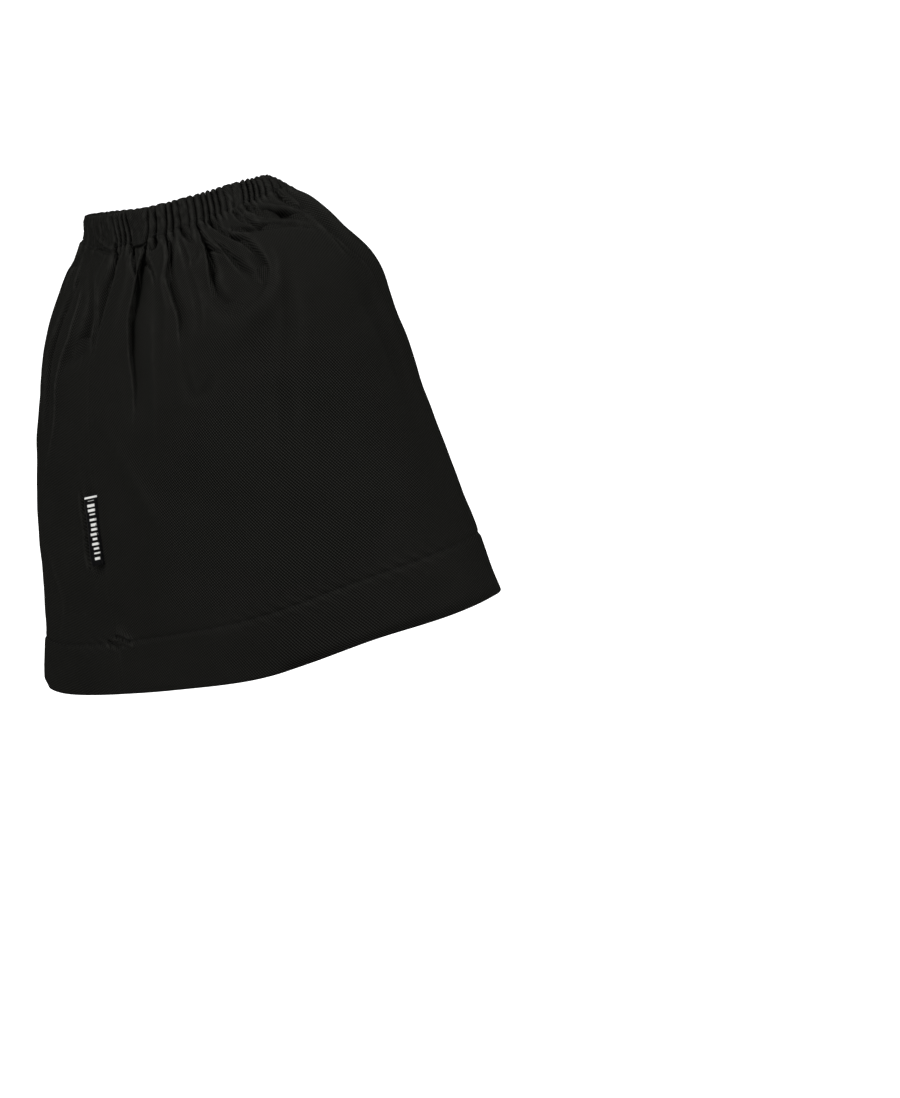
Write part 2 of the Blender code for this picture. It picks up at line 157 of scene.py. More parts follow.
FOLDS = (
    # side -Y
    Fold("deep fold behind the narrow pleats", (
        (317, 64, 6, 24), (314.5, 78, 8, 38), (307.5, 94, 11, 42), (306, 110, 13, 40), (306.5, 130, 16, 36),
        (310.5, 148, 18, 32), (316.5, 168, 19, 29), (320.5, 188, 18, 26), (324, 210, 17, 23),
        (326.5, 234, 15, 20), (328, 254, 13, 12), (328.5, 268, 13, 1)), steep=-0.4),
    Fold("its small fellow, beside the tab", (
        (278.5, 68, 5, 20), (276.5, 84, 5, 26), (272, 100, 6, 26), (267.5, 120, 6, 24),
        (265, 138, 6, 14)), undercut=0.5),
    Fold("deepest fold, under the wide pleat", (
        (256.5, 78, 4, 18), (255, 92, 5, 26), (254.5, 106, 8, 36), (256, 122, 15, 42), (258, 136, 21, 43),
        (261, 152, 23, 43), (265, 168, 23, 42), (269, 184, 23, 41), (273, 200, 23, 39), (275.5, 220, 23, 36),
        (276, 246, 23, 33), (275.5, 272, 23, 30), (274.5, 298, 24, 26), (272, 328, 25, 22),
        (270, 364, 27, 16), (270, 402, 31, 9), (272.5, 446, 35, 0)), steep=0.6, undercut=0.75),
    Fold("its right branch", (
        (249.5, 118, 5, 16), (244.5, 126, 6, 22), (240.5, 138, 5, 20), (239, 150, 5, 14),
        (239.5, 166, 5, 3)), undercut=0.3),
    Fold("ridge between the two deep folds", (
        (289.5, 80, 13, -4), (278.5, 110, 16, -7), (276, 138, 19, -8), (282.5, 162, 23, -8),
        (291, 188, 27, -7), (296, 218, 31, -5), (299, 264, 35, -1))),
    Fold("third fold", (
        (219, 72, 5, 20), (217, 84, 6, 30), (212, 102, 8, 36), (210.5, 118, 8, 36), (212, 130, 8, 34),
        (214.5, 140, 9, 32), (217, 150, 12, 28), (219.5, 164, 14, 26), (220, 174, 14, 25),
        (219.5, 186, 14, 24), (218.5, 202, 15, 22), (217, 220, 15, 21), (215.5, 238, 16, 20),
        (215.5, 258, 17, 17), (215.5, 280, 19, 10), (215, 308, 19, 1)), steep=0.3, undercut=0.55),
    Fold("ridge before the third fold", (
        (225, 84, 8, -4), (218.5, 108, 10, -9), (218.5, 128, 10, -10), (223.5, 146, 11, -8),
        (229, 162, 12, -6), (231, 184, 15, -5), (229.5, 210, 19, -4), (226.5, 246, 23, -1))),
    Fold("fourth fold", (
        (166.5, 74, 5, 18), (163.5, 94, 5, 28), (160.5, 114, 7, 34), (160.5, 128, 8, 36), (162.5, 144, 9, 37),
        (165, 158, 10, 38), (168, 172, 12, 39), (171, 184, 12, 33), (174, 198, 13, 19), (175, 212, 14, 8),
        (176, 228, 14, 1)), steep=0.3, undercut=0.4),
    Fold("low side of the round hollow", (
        (175.5, 182, 19, 3), (175.5, 202, 27, 20), (172.5, 228, 31, 26), (165.5, 252, 31, 20),
        (156.5, 274, 31, 2))),
    Fold("crease from the fourth fold", (
        (163.5, 106, 5, 18), (160.5, 120, 6, 24), (156.5, 130, 7, 26), (152, 138, 6, 22), (148.5, 144, 6, 12),
        (145, 150, 6, 1)), undercut=0.3),
    Fold("slanting crease", (
        (149, 122, 4, 5), (144.5, 132, 5, 14), (141.5, 142, 7, 22), (139.5, 154, 8, 28), (137, 166, 12, 28),
        (134, 178, 16, 22), (131.5, 190, 19, 16), (130, 204, 21, 10), (130, 218, 21, 1)), undercut=0.3),
    Fold("slanting fold", (
        (148, 76, 5, 18), (144.5, 84, 7, 32), (139.5, 96, 8, 30), (134.5, 110, 6, 19), (130, 118, 7, 32),
        (124.5, 126, 9, 40), (119, 134, 10, 42), (114.5, 142, 11, 36), (112, 150, 12, 24), (110, 162, 13, 8),
        (108.5, 168, 13, 1)), steep=0.2, undercut=0.3),
    Fold("rim of the round hollow", (
        (118, 146, 12, 2), (114, 156, 17, 12), (111, 166, 21, 22), (111, 178, 23, 28), (113, 194, 23, 28),
        (117, 208, 25, 25), (125, 226, 29, 20), (135, 240, 35, 15), (147.5, 252, 42, 11), (161, 264, 46, 6),
        (172.5, 274, 46, 1)), steep=-0.5),
    Fold("round hollow", (
        (158.5, 150, 31, 3), (151.5, 166, 42, 19), (144, 182, 54, 29), (142.5, 206, 54, 29),
        (150, 228, 50, 22), (160, 244, 42, 12), (167, 260, 38, 1))),
    Fold("slit under the front of the casing", (
        (87, 82, 5, 20), (83, 90, 7, 32), (78, 98, 8, 42), (72, 106, 10, 48), (64.5, 112, 11, 50),
        (56, 120, 11, 48), (47.5, 126, 10, 40), (40.5, 132, 8, 28), (33.5, 138, 7, 18), (25, 144, 7, 9),
        (17.5, 152, 6, 1)), undercut=-0.45),
    Fold("ridge over the slit", (
        (84.5, 70, 8, -4), (73, 82, 10, -8), (58.5, 94, 11, -9), (46, 108, 11, -9), (36.5, 120, 11, -8),
        (28, 132, 10, -5), (22.5, 144, 10, -2))),
    Fold("ridge under the slit", (
        (91, 112, 7, -4), (79.5, 124, 8, -7), (65, 134, 9, -7), (49.5, 142, 9, -6), (35, 152, 9, -2))),
    Fold("line under that ridge", (
        (120, 114, 6, 14), (110.5, 120, 7, 22), (99.5, 128, 7, 26), (88.5, 132, 7, 26), (78.5, 134, 7, 24),
        (66.5, 138, 7, 22), (53, 144, 7, 20), (41.5, 152, 7, 17), (32.5, 160, 7, 11), (26.5, 168, 7, 1))),
    Fold("short crease behind the slit", (
        (108, 78, 5, 16), (105, 86, 8, 30), (102, 96, 11, 38), (97.5, 106, 11, 36), (93, 114, 9, 26),
        (90, 124, 8, 16), (86.5, 130, 6, 3)), steep=0.2, undercut=0.2),
    Fold("smaller crease over it", (
        (99, 76, 5, 8), (96, 86, 5, 12), (92.5, 94, 5, 1))),
    Fold("dimple at the front of the casing", (
        (26.5, 70, 7, 24), (25, 80, 10, 42), (26.5, 92, 14, 52), (24.5, 102, 12, 42), (21.5, 116, 9, 30),
        (14, 128, 9, 26), (12, 142, 9, 23), (13.5, 158, 9, 19), (15.5, 176, 10, 14), (20, 200, 11, 8),
        (21.5, 226, 12, 1)), undercut=0.2),
    Fold("dark strip down the front", (
        (14.5, 108, 15, 3), (5.5, 128, 19, 8), (3.5, 148, 23, 10), (7.5, 172, 25, 10), (11, 198, 27, 9),
        (13.5, 236, 27, 6), (13, 278, 27, 1))),
    Fold("edge along that strip", (
        (41.5, 112, 12, -4), (32, 128, 12, -6), (25, 144, 12, -6), (23, 160, 13, -5), (25, 178, 15, -4),
        (26.5, 202, 16, -3), (27.5, 230, 18, -1))),
    Fold("swell over the front of the casing", (
        (1.5, 78, 35, -6), (-1.5, 96, 42, -22), (-3, 114, 46, -30), (-3.5, 130, 46, -30), (-5, 146, 46, -26),
        (-7.5, 160, 42, -16), (-4.5, 178, 35, -1))),
    Fold("faint fold", (
        (195, 98, 7, 6), (192, 120, 9, 11), (191.5, 138, 10, 11), (193, 150, 9, 6), (194.5, 162, 8, 0))),
    Fold("its fellow", (
        (190.5, 156, 7, 2), (184, 148, 8, 8), (177, 140, 8, 6), (172.5, 128, 8, 1))),
    Fold("faint crease", (
        (193.5, 162, 10, 1), (194.5, 184, 12, 5), (195, 216, 12, 6), (196, 254, 12, 5), (198, 292, 12, 0))),
    Fold("pocket under the casing", (
        (192.5, 66, 7, 14), (189.5, 78, 9, 23), (182, 96, 10, 17), (175.5, 112, 8, 1)), undercut=0.3),
    Fold("tab beside the wide pleat", (
        (264, 82, 9, -6), (259, 100, 8, -8), (260, 112, 7, -6), (261.5, 118, 5, -2))),
    Fold("hooked pucker", (
        (248, 76, 5, -5), (250, 84, 5, -7), (249.5, 96, 4, -7), (244.5, 110, 4, -8), (240, 122, 5, -8),
        (238.5, 130, 5, -2))),
    Fold("dark hook beside it", (
        (239, 70, 6, 18), (238.5, 78, 7, 19), (238.5, 90, 7, 16), (242, 96, 5, 12), (246.5, 90, 5, 9),
        (246.5, 84, 4, 3))),
    Fold("light crease", (
        (359.5, 44, 6, -5), (346.5, 52, 6, -12), (335.5, 62, 6, -12), (321, 72, 6, -4))),
    Fold("line under the light crease", (
        (367.5, 62, 6, 3), (349, 70, 6, 12), (328, 78, 6, 12), (313, 80, 6, 2))),
    Fold("bulge at the back, under the casing", (
        (444, 64, 19, -10), (449, 80, 23, -18), (452.5, 96, 31, -9), (418, 114, 35, -3),
        (411.5, 134, 35, -1))),
    Fold("thin ridge at the back", (
        (402.5, 84, 8, -5), (389, 102, 8, -8), (381.5, 124, 9, -9), (382, 146, 10, -10), (388, 166, 10, -9),
        (396.5, 188, 11, -7), (407, 214, 12, -3), (418.5, 234, 12, 0))),
    Fold("dark hollow at the back of the casing", (
        (443.5, 62, 8, 18), (447, 74, 10, 22), (448, 88, 12, 18), (409, 108, 12, 12), (407, 132, 12, 8),
        (404, 160, 12, 1))),
    Fold("long ridge at the back", (
        (361.5, 144, 9, -2), (360.5, 164, 10, -8), (363.5, 196, 11, -13), (369.5, 234, 11, -15),
        (379, 268, 12, -14), (385.5, 310, 12, -12), (387.5, 358, 12, -10), (391.5, 414, 14, -7),
        (405.5, 476, 15, -4), (423, 524, 15, 0))),
    Fold("strip behind the long ridge", (
        (376.5, 134, 11, 7), (388.5, 168, 14, 20), (401.5, 200, 17, 29), (407.5, 236, 19, 32),
        (414, 276, 21, 30), (413, 322, 22, 22), (413.5, 372, 22, 14), (407, 432, 23, 1))),
    Fold("low soft ridge at the back", (
        (434.5, 614, 15, -1), (412.5, 678, 17, -6), (403.5, 728, 17, -6), (397.5, 778, 15, -4),
        (408.5, 872, 13, -1))),
    Fold("hollow before the seam", (
        (340, 146, 12, 3), (339.5, 174, 15, 13), (340, 200, 18, 22), (343, 222, 22, 29), (348, 242, 25, 31),
        (357, 260, 25, 28), (367, 276, 23, 16), (379.5, 290, 21, 1))),
    Fold("soft trough beside the seam", (
        (357, 106, 13, 2), (347, 130, 15, 4), (340, 160, 15, 2))),
    Fold("soft upright trough", (
        (235.5, 174, 15, 1), (240, 218, 17, 6), (242.5, 288, 19, 7), (243, 356, 23, 0))),
    Fold("upright light line", (
        (249, 214, 15, -1), (250, 284, 17, -4), (249.5, 374, 17, -4), (253, 454, 17, -2),
        (255.5, 494, 17, -1))),
    Fold("faint hooked hollow", (
        (215.5, 330, 15, 1), (213.5, 382, 17, 6), (208, 424, 19, 9), (197, 422, 19, 7),
        (188.5, 392, 17, 1))),
    Fold("light wedge under the seam's side", (
        (311.5, 426, 19, -1), (293.5, 488, 27, -8), (280.5, 550, 31, -10), (268.5, 610, 31, -8),
        (261.5, 658, 31, -1))),
    Fold("strong front ridge", (
        (93.5, 178, 17, -3), (101.5, 206, 21, -11), (111, 238, 29, -15), (124, 264, 38, -15),
        (140.5, 286, 46, -12), (157.5, 310, 50, -8), (171.5, 340, 50, -1))),
    Fold("soft dark band", (
        (94.5, 218, 19, 1), (102.5, 274, 25, 11), (105.5, 334, 31, 13), (110.5, 388, 35, 10),
        (119, 440, 38, 5), (125.5, 494, 35, 9), (129.5, 542, 31, 10), (135, 588, 35, 1))),
    Fold("broad trough down the front", (
        (31, 268, 31, 2), (22, 358, 35, 10), (15.5, 442, 38, 13), (12.5, 518, 38, 11), (13, 584, 35, 4),
        (14, 618, 31, 1))),
    Fold("upper ridge of the hem's pucker", (
        (329, 858, 7, -7), (322.5, 862, 8, -15), (317.5, 870, 8, -15), (312.5, 878, 7, -6))),
    Fold("trough of the hem's pucker", (
        (330.5, 866, 6, 10), (325.5, 874, 7, 20), (318, 882, 6, 10))),
    Fold("lower ridge of the hem's pucker", (
        (332.5, 872, 7, -12), (326.5, 876, 8, -16), (321, 882, 7, -12), (314.5, 890, 7, -6))),
    Fold("end of the hem's pucker", (
        (340.5, 876, 6, 14), (339.5, 884, 7, 20), (332.5, 888, 7, 16), (323.5, 890, 6, 7))),
    Fold("groove beside the label", (
        (345.5, 546, 6, 2), (349.5, 562, 7, 18), (349, 598, 7, 22), (349.5, 634, 7, 22), (350.5, 670, 7, 22),
        (351, 698, 7, 18), (347.5, 712, 6, 2))),
    Fold("dip under the label", (
        (348, 716, 8, 4), (342.5, 720, 11, 12), (336.5, 726, 9, 9), (329.5, 730, 8, 1))),
    # the back
    Fold("fold behind the thin ridge", (
        (452, 100, 10, 8), (446, 160, 22, 18), (444, 230, 28, 20), (450, 320, 30, 14),
        (458, 420, 32, 3)), steep=-0.3, undercut=-0.3),
    Fold("narrow fold at the back", (
        (470, 72, 6, 12), (473, 115, 12, 22), (475, 165, 18, 23), (472, 230, 22, 14),
        (470, 300, 24, 1)), steep=0.3, undercut=0.3),
    Fold("short fold at the back", (
        (505, 74, 6, 10), (510, 120, 14, 18), (517, 180, 19, 13), (522, 240, 20, 1))),
    Fold("ridge at the back", (
        (490, 90, 14, -4), (494, 170, 22, -10), (500, 280, 28, -8), (506, 400, 30, -1))),
    Fold("long fold at the back", (
        (552, 72, 7, 17), (549, 112, 14, 30), (543, 165, 23, 36), (537, 240, 28, 30), (531, 330, 30, 17),
        (527, 430, 32, 1)), steep=-0.4, undercut=-0.4),
    # side +Y
    Fold("ridge beside the long fold", (
        (577, 110, 16, -5), (572, 200, 26, -12), (562, 320, 32, -11), (552, 470, 34, -1))),
    Fold("slanting fold of the far side", (
        (598, 72, 6, 12), (606, 115, 12, 21), (618, 165, 18, 22), (632, 225, 22, 13),
        (642, 290, 22, 1)), steep=0.3, undercut=0.3),
    Fold("deepest fold of the far side", (
        (658, 74, 7, 18), (655, 110, 14, 34), (650, 160, 25, 44), (646, 225, 28, 41), (650, 300, 28, 31),
        (656, 380, 30, 17), (660, 450, 32, 1)), steep=-0.5, undercut=-0.5),
    Fold("ridge before the deepest fold", (
        (676, 100, 14, -5), (672, 180, 22, -10), (664, 300, 28, -9), (660, 420, 32, -1))),
    Fold("third fold of the far side", (
        (714, 72, 7, 15), (720, 112, 14, 28), (728, 165, 22, 30), (736, 230, 26, 19),
        (741, 310, 26, 1)), steep=0.4, undercut=0.4),
    Fold("hollow of the far side", (
        (700, 215, 20, 3), (692, 245, 30, 15), (682, 275, 34, 13), (670, 300, 30, 2))),
    Fold("short fold of the far side", (
        (766, 72, 6, 9), (762, 110, 13, 16), (757, 160, 18, 12), (754, 215, 18, 1))),
    Fold("fourth fold of the far side", (
        (808, 74, 6, 12), (814, 115, 10, 22), (818, 170, 16, 25), (812, 240, 22, 19), (802, 320, 26, 9),
        (796, 390, 28, 0)), steep=-0.4, undercut=-0.4),
    Fold("slanting crease of the far side", (
        (842, 100, 7, 8), (852, 130, 10, 16), (862, 165, 13, 14), (868, 205, 17, 3))),
    Fold("slanting fold before it", (
        (866, 82, 6, 11), (876, 112, 9, 20), (886, 138, 12, 21), (892, 165, 16, 12), (884, 205, 20, 7),
        (876, 240, 20, 1))),
    Fold("front ridge of the far side", (
        (898, 175, 13, -4), (884, 215, 18, -11), (866, 265, 26, -12), (845, 320, 32, -10),
        (826, 385, 34, -1))),
    Fold("slit of the far side", (
        (918, 84, 6, 10), (930, 100, 8, 20), (944, 114, 9, 22), (958, 126, 9, 14), (972, 136, 10, 2))),
    Fold("ridge under that slit", (
        (908, 112, 6, -3), (930, 128, 7, -6), (952, 144, 7, -6), (970, 158, 7, -1))),
    Fold("soft trough of the far side", (
        (866, 400, 30, 1), (870, 490, 36, 8), (874, 580, 38, 6), (876, 660, 38, 0))),
    Fold("low ridge of the far side", (
        (590, 600, 34, -1), (604, 690, 40, -7), (612, 790, 40, -5), (614, 870, 36, -1))),
    # the front
    Fold("front fold", (
        (10, 80, 7, 8), (8, 140, 18, 16), (3, 210, 26, 16), (-3, 300, 28, 5),
        (-5, 350, 28, 0)), steep=0.2, undercut=0.1),
    Fold("second front fold", (
        (966, 74, 6, 10), (964, 120, 12, 16), (960, 190, 20, 13), (953, 280, 22, 1))),
)


@dataclass(frozen=True)
class Stretch:
    """A stretch along the cloth's width, with its middle, its half span in turns and its height in mm."""

    around: float
    half_span: float
    height: float

    def heights(self, arounds: Array, power: int = 2) -> Array:
        """Its soft height at each place, in metres. A higher power makes its middle flatter."""
        return self.height * MM * np.exp(-(turned_apart(arounds, self.around) / self.half_span) ** power)


# Where the casing's foot bulges down over the panel, with its drops.
FOOT_LIPS = (
    Stretch(0.267, 0.0150, 1.5), Stretch(0.350, 0.024, 0.3), Stretch(0.435, 0.045, -2.0),
    Stretch(0.485, 0.014, 1.0), Stretch(0.632, 0.016, 1.3), Stretch(0.791, 0.015, 1.1),
    Stretch(0.892, 0.011, 0.8),
)


@dataclass(frozen=True)
class HemWave:
    """A stretch of hem that stands off or falls in: its middle, half span in turns, out and drop in mm."""

    around: float
    half_span: float
    out: float
    drop: float


HEM_WAVES = (
    HemWave(0.205, 0.055, 1.5, 1.4), HemWave(0.105, 0.045, -0.9, -1.1), HemWave(0.400, 0.045, 0.8, 0.4),
    HemWave(0.500, 0.040, -0.6, 0.0), HemWave(0.615, 0.060, 1.6, 1.2), HemWave(0.735, 0.045, -1.0, 0.3),
    HemWave(0.875, 0.050, 1.2, 0.9),
)


@dataclass(frozen=True)
class HemCurl:
    """Where the hem's fold rolls in: its two ends in turns, the share where it starts and its depth in mm."""

    start: float
    end: float
    share: float
    depth: float


HEM_CURLS = (HemCurl(-0.020, 0.190, 0.979, 1.9), HemCurl(0.430, 0.560, 0.982, 1.2))


@dataclass(frozen=True)
class Dent:
    """A small hollow, or a bump where its depth is negative: its middle, half sizes and depth in mm."""

    around: float
    share: float
    half_across: float
    half_down: float
    depth: float


DENTS = (
    Dent(0.3375, 0.543, 2.2, 2.6, 0.8), Dent(0.3360, 0.722, 2.2, 2.8, 0.9),
    Dent(0.3420, 0.262, 4.0, 4.0, 1.0), Dent(0.0450, 0.950, 6.0, 4.0, 0.7),
)


# Where the hem's stitching ropes, with the ripples' heights.
PUCKERS = (
    Stretch(0.338, 0.030, 0.20), Stretch(0.160, 0.060, 0.16), Stretch(0.060, 0.030, 0.20),
    Stretch(0.560, 0.070, 0.18), Stretch(0.810, 0.060, 0.20),
)


@dataclass(frozen=True)
class Ripple:
    """Two waves that cross: their weight, and for each its turns round the cover, turns down it and phase."""

    weight: float
    first: Triple
    second: Triple


PANEL_RIPPLES = (
    Ripple(1.0, (5, 2.3, 0.6), (2, 3.1, 0.0)), Ripple(0.7, (9, -3.7, 1.9), (0, 4.3, 0.4)),
    Ripple(0.5, (16, 5.1, 0.0), (-3, 7.7, 0.8)),
)
CASING_RIPPLES = (
    Ripple(1.0, (61, 1.3, 0.4), (23, -0.9, 0.0)), Ripple(0.8, (97, -2.1, 1.1), (31, 1.6, 0.7)),
    Ripple(0.7, (43, 2.7, 0.0), (-17, 2.2, 0.8)),
)
LIP_RIPPLES = (Ripple(1.0, (37, 0.0, 0.0), (11, 0.0, 0.0)),)


def ease(amount: Array) -> Array:
    """The smooth step from 0 to 1."""
    amount = np.clip(amount, 0.0, 1.0)
    return amount * amount * (3.0 - 2.0 * amount)


def turned_apart(arounds: Array, middle: float) -> Array:
    """The shortest turn from a middle to each around, from -0.5 to 0.5."""
    return np.mod(arounds - middle + 0.5, 1.0) - 0.5


def rounded_edge(distance: Array, radius: float) -> Array:
    """How far a rounded edge is drawn in at a distance from its end."""
    left = np.clip(1.0 - distance / radius, 0.0, 1.0)
    return radius * (1.0 - np.sqrt(1.0 - left * left))


def rippled(ripples: tuple[Ripple, ...], arounds: Array, down: float = 0.0) -> Array:
    """The sum of a table's ripples.

    Args:
        ripples: The table.
        arounds: The places round the cover.
        down: The place down it, a share or its part.

    Returns:
        The sum at each around.
    """
    waves = [[np.sin(2.0 * math.pi * (across * arounds + rows * down) + phase)
              for across, rows, phase in (ripple.first, ripple.second)] for ripple in ripples]
    return sum(ripple.weight * first * second for ripple, (first, second) in zip(ripples, waves))


def smooth_rows(places: Array, knots: Array, rows: Array) -> Array:
    """Rows of numbers between a table's rows, on smooth curves through them.

    Args:
        places: Where the rows are wanted.
        knots: Where the table's rows stand.
        rows: The table.

    Returns:
        One row for each place.
    """
    slopes = np.gradient(rows, knots, axis=0)
    low = np.clip(np.searchsorted(knots, places, side="right") - 1, 0, len(knots) - 2)
    step = (knots[low + 1] - knots[low])[:, None]
    t = (places - knots[low])[:, None] / step
    start = (1 + 2 * t) * (1 - t) ** 2 * rows[low] + t * (1 - t) ** 2 * step * slopes[low]
    return start + t * t * (3 - 2 * t) * rows[low + 1] + t * t * (t - 1) * step * slopes[low + 1]


@dataclass
class PlainForm:
    """The cover's form without its folds."""

    sections: tuple[Section, ...] = SECTIONS
    outline_steps: int = 721
    normal_step: float = 0.004

    def __post_init__(self) -> None:
        """Keeps the table as arrays."""
        self.shares = np.array([section.share for section in self.sections])
        self.rows = np.array([section.numbers() for section in self.sections])

    def section_at(self, share: float) -> Array:
        """The outline's sizes at any share, on smooth curves through the rows of the table."""
        return smooth_rows(np.array([share]), self.shares, self.rows)[0]

    def ring(self, share: float, arounds: Array) -> tuple[Array, float]:
        """Points of the plain form, spread evenly along the cloth.

        Args:
            share: The ring's place down the cloth.
            arounds: The places round it, in turns.

        Returns:
            The points, and the ring's length.
        """
        back_x, back_z, front_x, front_z, half_width, sag, roll = self.section_at(share)
        turn = np.linspace(0.0, 2.0 * math.pi, self.outline_steps)
        forward = (1.0 + np.cos(turn)) / 2.0
        side = np.sin(turn)
        outline = np.stack([
            back_x + (front_x - back_x) * forward,
            -half_width * side,
            back_z + (front_z - back_z) * forward - sag * side ** 2 + roll / 2.0 * side,
        ], axis=-1)
        lengths = np.append(0.0, np.cumsum(np.linalg.norm(np.diff(outline, axis=0), axis=1)))
        wanted = np.mod(arounds, 1.0) * lengths[-1]
        points = np.stack([np.interp(wanted, lengths, outline[:, axis]) for axis in range(3)], axis=-1)
        return points, float(lengths[-1])

    def directions(self, share: float, arounds: Array) -> tuple[Array, Array]:
        """The plain form's directions round the cover and down it.

        Args:
            share: The row's place down the cloth.
            arounds: The places round it.

        Returns:
            Both, for each place.
        """
        step = self.normal_step
        down = self.ring(min(share + step, 1.0), arounds)[0] - self.ring(max(share - step, 0.0), arounds)[0]
        along = self.ring(share, arounds + step)[0] - self.ring(share, arounds - step)[0]
        return (along / np.linalg.norm(along, axis=1, keepdims=True),
                down / np.linalg.norm(down, axis=1, keepdims=True))

    def normals(self, share: float, arounds: Array) -> Array:
        """The plain form's outward directions, which are smooth because they know no folds."""
        normal = np.cross(*self.directions(share, arounds))
        return normal / np.linalg.norm(normal, axis=1, keepdims=True)


class GatherTrait(Enum):
    """What a gather's own fixed number decides. The value keeps one such number apart from the next."""

    PLACE = 1.0
    HEIGHT = 2.0
    REACH = 4.0
    LEAN = 6.0
    DEPTH = 7.0


@dataclass
class Gathers:
    """The rolls of cloth that the elastic draws up, with the valleys between them, and their tails below."""

    seen: tuple[Valley, ...] = VALLEYS
    runs: tuple[GatherRun, ...] = GATHER_RUNS
    depths: Pair = (1.4, 2.5)     # of the hidden sides' valleys, in mm
    leans: Pair = (-0.0012, 0.0012)
    side_lean: float = -0.020
    front_lean: float = 0.0515                  # how far the front's gathers slant, as the seen ones do there
    front_lean_from: float = 0.80
    front_lean_over: float = 0.2155
    heights: Pair = (0.75 * MM, 1.10 * MM)
    tail_share: float = 0.40
    tail_reaches: Pair = (0.008, 0.022)
    edge_radius: float = 1.5 * MM
    tail_radius: float = 2.6 * MM
    uneven_pitch: float = 0.24
    softening: float = 0.022                    # the shares over which a valley turns from a cusp to a trough
    narrow_roll: float = 1.3                    # the half width, in edge radii, under which valleys soften
    narrow_softness: float = 0.4

    def __post_init__(self) -> None:
        """Places the valleys, a little uneven within each run, and chooses each gather's own sizes."""
        starts = [run.start for run in self.runs] + [self.seen[0].foot + 1.0]
        hidden: list[Valley] = []
        for index, run in enumerate(self.runs):
            pitch = (starts[index + 1] - run.start) / run.gathers
            for count in range(run.gathers):
                number = len(hidden)
                apart = self.spread(number, GatherTrait.PLACE) - 0.5
                foot = run.start + count * pitch + (apart * self.uneven_pitch * pitch if count else 0.0)
                lean = self.between(self.leans, number, GatherTrait.LEAN)
                lean -= self.side_lean * math.sin(2.0 * math.pi * foot)
                front = np.array((foot - self.front_lean_from) / self.front_lean_over)
                lean += self.front_lean * float(ease(front))
                hidden.append(Valley(foot - lean, foot, self.between(self.depths, number, GatherTrait.DEPTH)))
        valleys = [*self.seen, *hidden]
        first = valleys[0]
        valleys.append(Valley(first.top + 1.0, first.foot + 1.0, first.depth))
        self.count = len(valleys) - 1
        self.tops = np.array([valley.top for valley in valleys])
        self.feet = np.array([valley.foot for valley in valleys])
        self.valley_depths = np.array([valley.depth * MM for valley in valleys])
        self.crest_heights, reaches = (
            [self.between(limits, number, trait) for number in range(self.count)]
            for limits, trait in ((self.heights, GatherTrait.HEIGHT), (self.tail_reaches, GatherTrait.REACH)))
        self.crest_heights = np.array(self.crest_heights)
        self.reaches = np.array(reaches + reaches[:1])

    @staticmethod
    def spread(index: int, trait: GatherTrait) -> float:
        """A fixed number from 0 to 1 that looks random and belongs to one gather."""
        return math.fmod(abs(math.sin(index * 12.9898 + trait.value * 78.233)) * 43758.5453, 1.0)

    def between(self, limits: Pair, index: int, trait: GatherTrait) -> float:
        """One such number between two limits."""
        return limits[0] + (limits[1] - limits[0]) * self.spread(index, trait)

    def valleys_at(self, share: float) -> Array:
        """The arounds of all valleys at one share: they lean in the casing and run straight below it."""
        down = min(share / CASING_FOOT, 1.0)
        return self.tops + (self.feet - self.tops) * down

    def slid(self, share: float, arounds: Array) -> Array:
        """Where columns that stand at these arounds at the casing's foot run at another share."""
        turned = np.mod(arounds - self.feet[0], 1.0) + self.feet[0]
        return np.interp(turned, self.feet, self.valleys_at(share))

    def crests(self, share: float, arounds: Array, length: float) -> Array:
        """Height over the plain form.

        Args:
            share: The row's place down the cloth.
            arounds: The places round it.
            length: The row's length round the cover.

        Returns:
            Heights: even rolls with cusped valleys in the casing, and soft tails that fade below it.
        """
        valleys = self.valleys_at(share)
        turned = np.mod(arounds - valleys[0], 1.0) + valleys[0]
        index = np.clip(np.searchsorted(valleys, turned, side="right") - 1, 0, self.count - 1)
        half = (valleys[index + 1] - valleys[index]) * length / 2.0
        below = max(share - CASING_FOOT, 0.0)
        soft = float(ease(np.array(below / self.softening)))
        radius = np.minimum(half, self.edge_radius + (self.tail_radius - self.edge_radius) * soft)
        narrow = np.clip(self.narrow_roll - half / self.edge_radius, 0.0, 1.0)
        fade = np.exp(-(below / self.reaches) ** 2 / 2.0) * (1.0 - (1.0 - self.tail_share) * soft)
        height = self.crest_heights[index] * (fade[index] + fade[index + 1]) / 2.0
        for side, away in ((index, turned - valleys[index]), (index + 1, valleys[index + 1] - turned)):
            left = np.clip(1.0 - away * length / radius, 0.0, 1.0)
            cusp = 1.0 - np.sqrt(1.0 - left * left)
            shape = cusp + (ease(left) - cusp) * np.maximum(soft, self.narrow_softness * narrow)
            height = height - (self.valley_depths * fade)[side] * shape
        return height


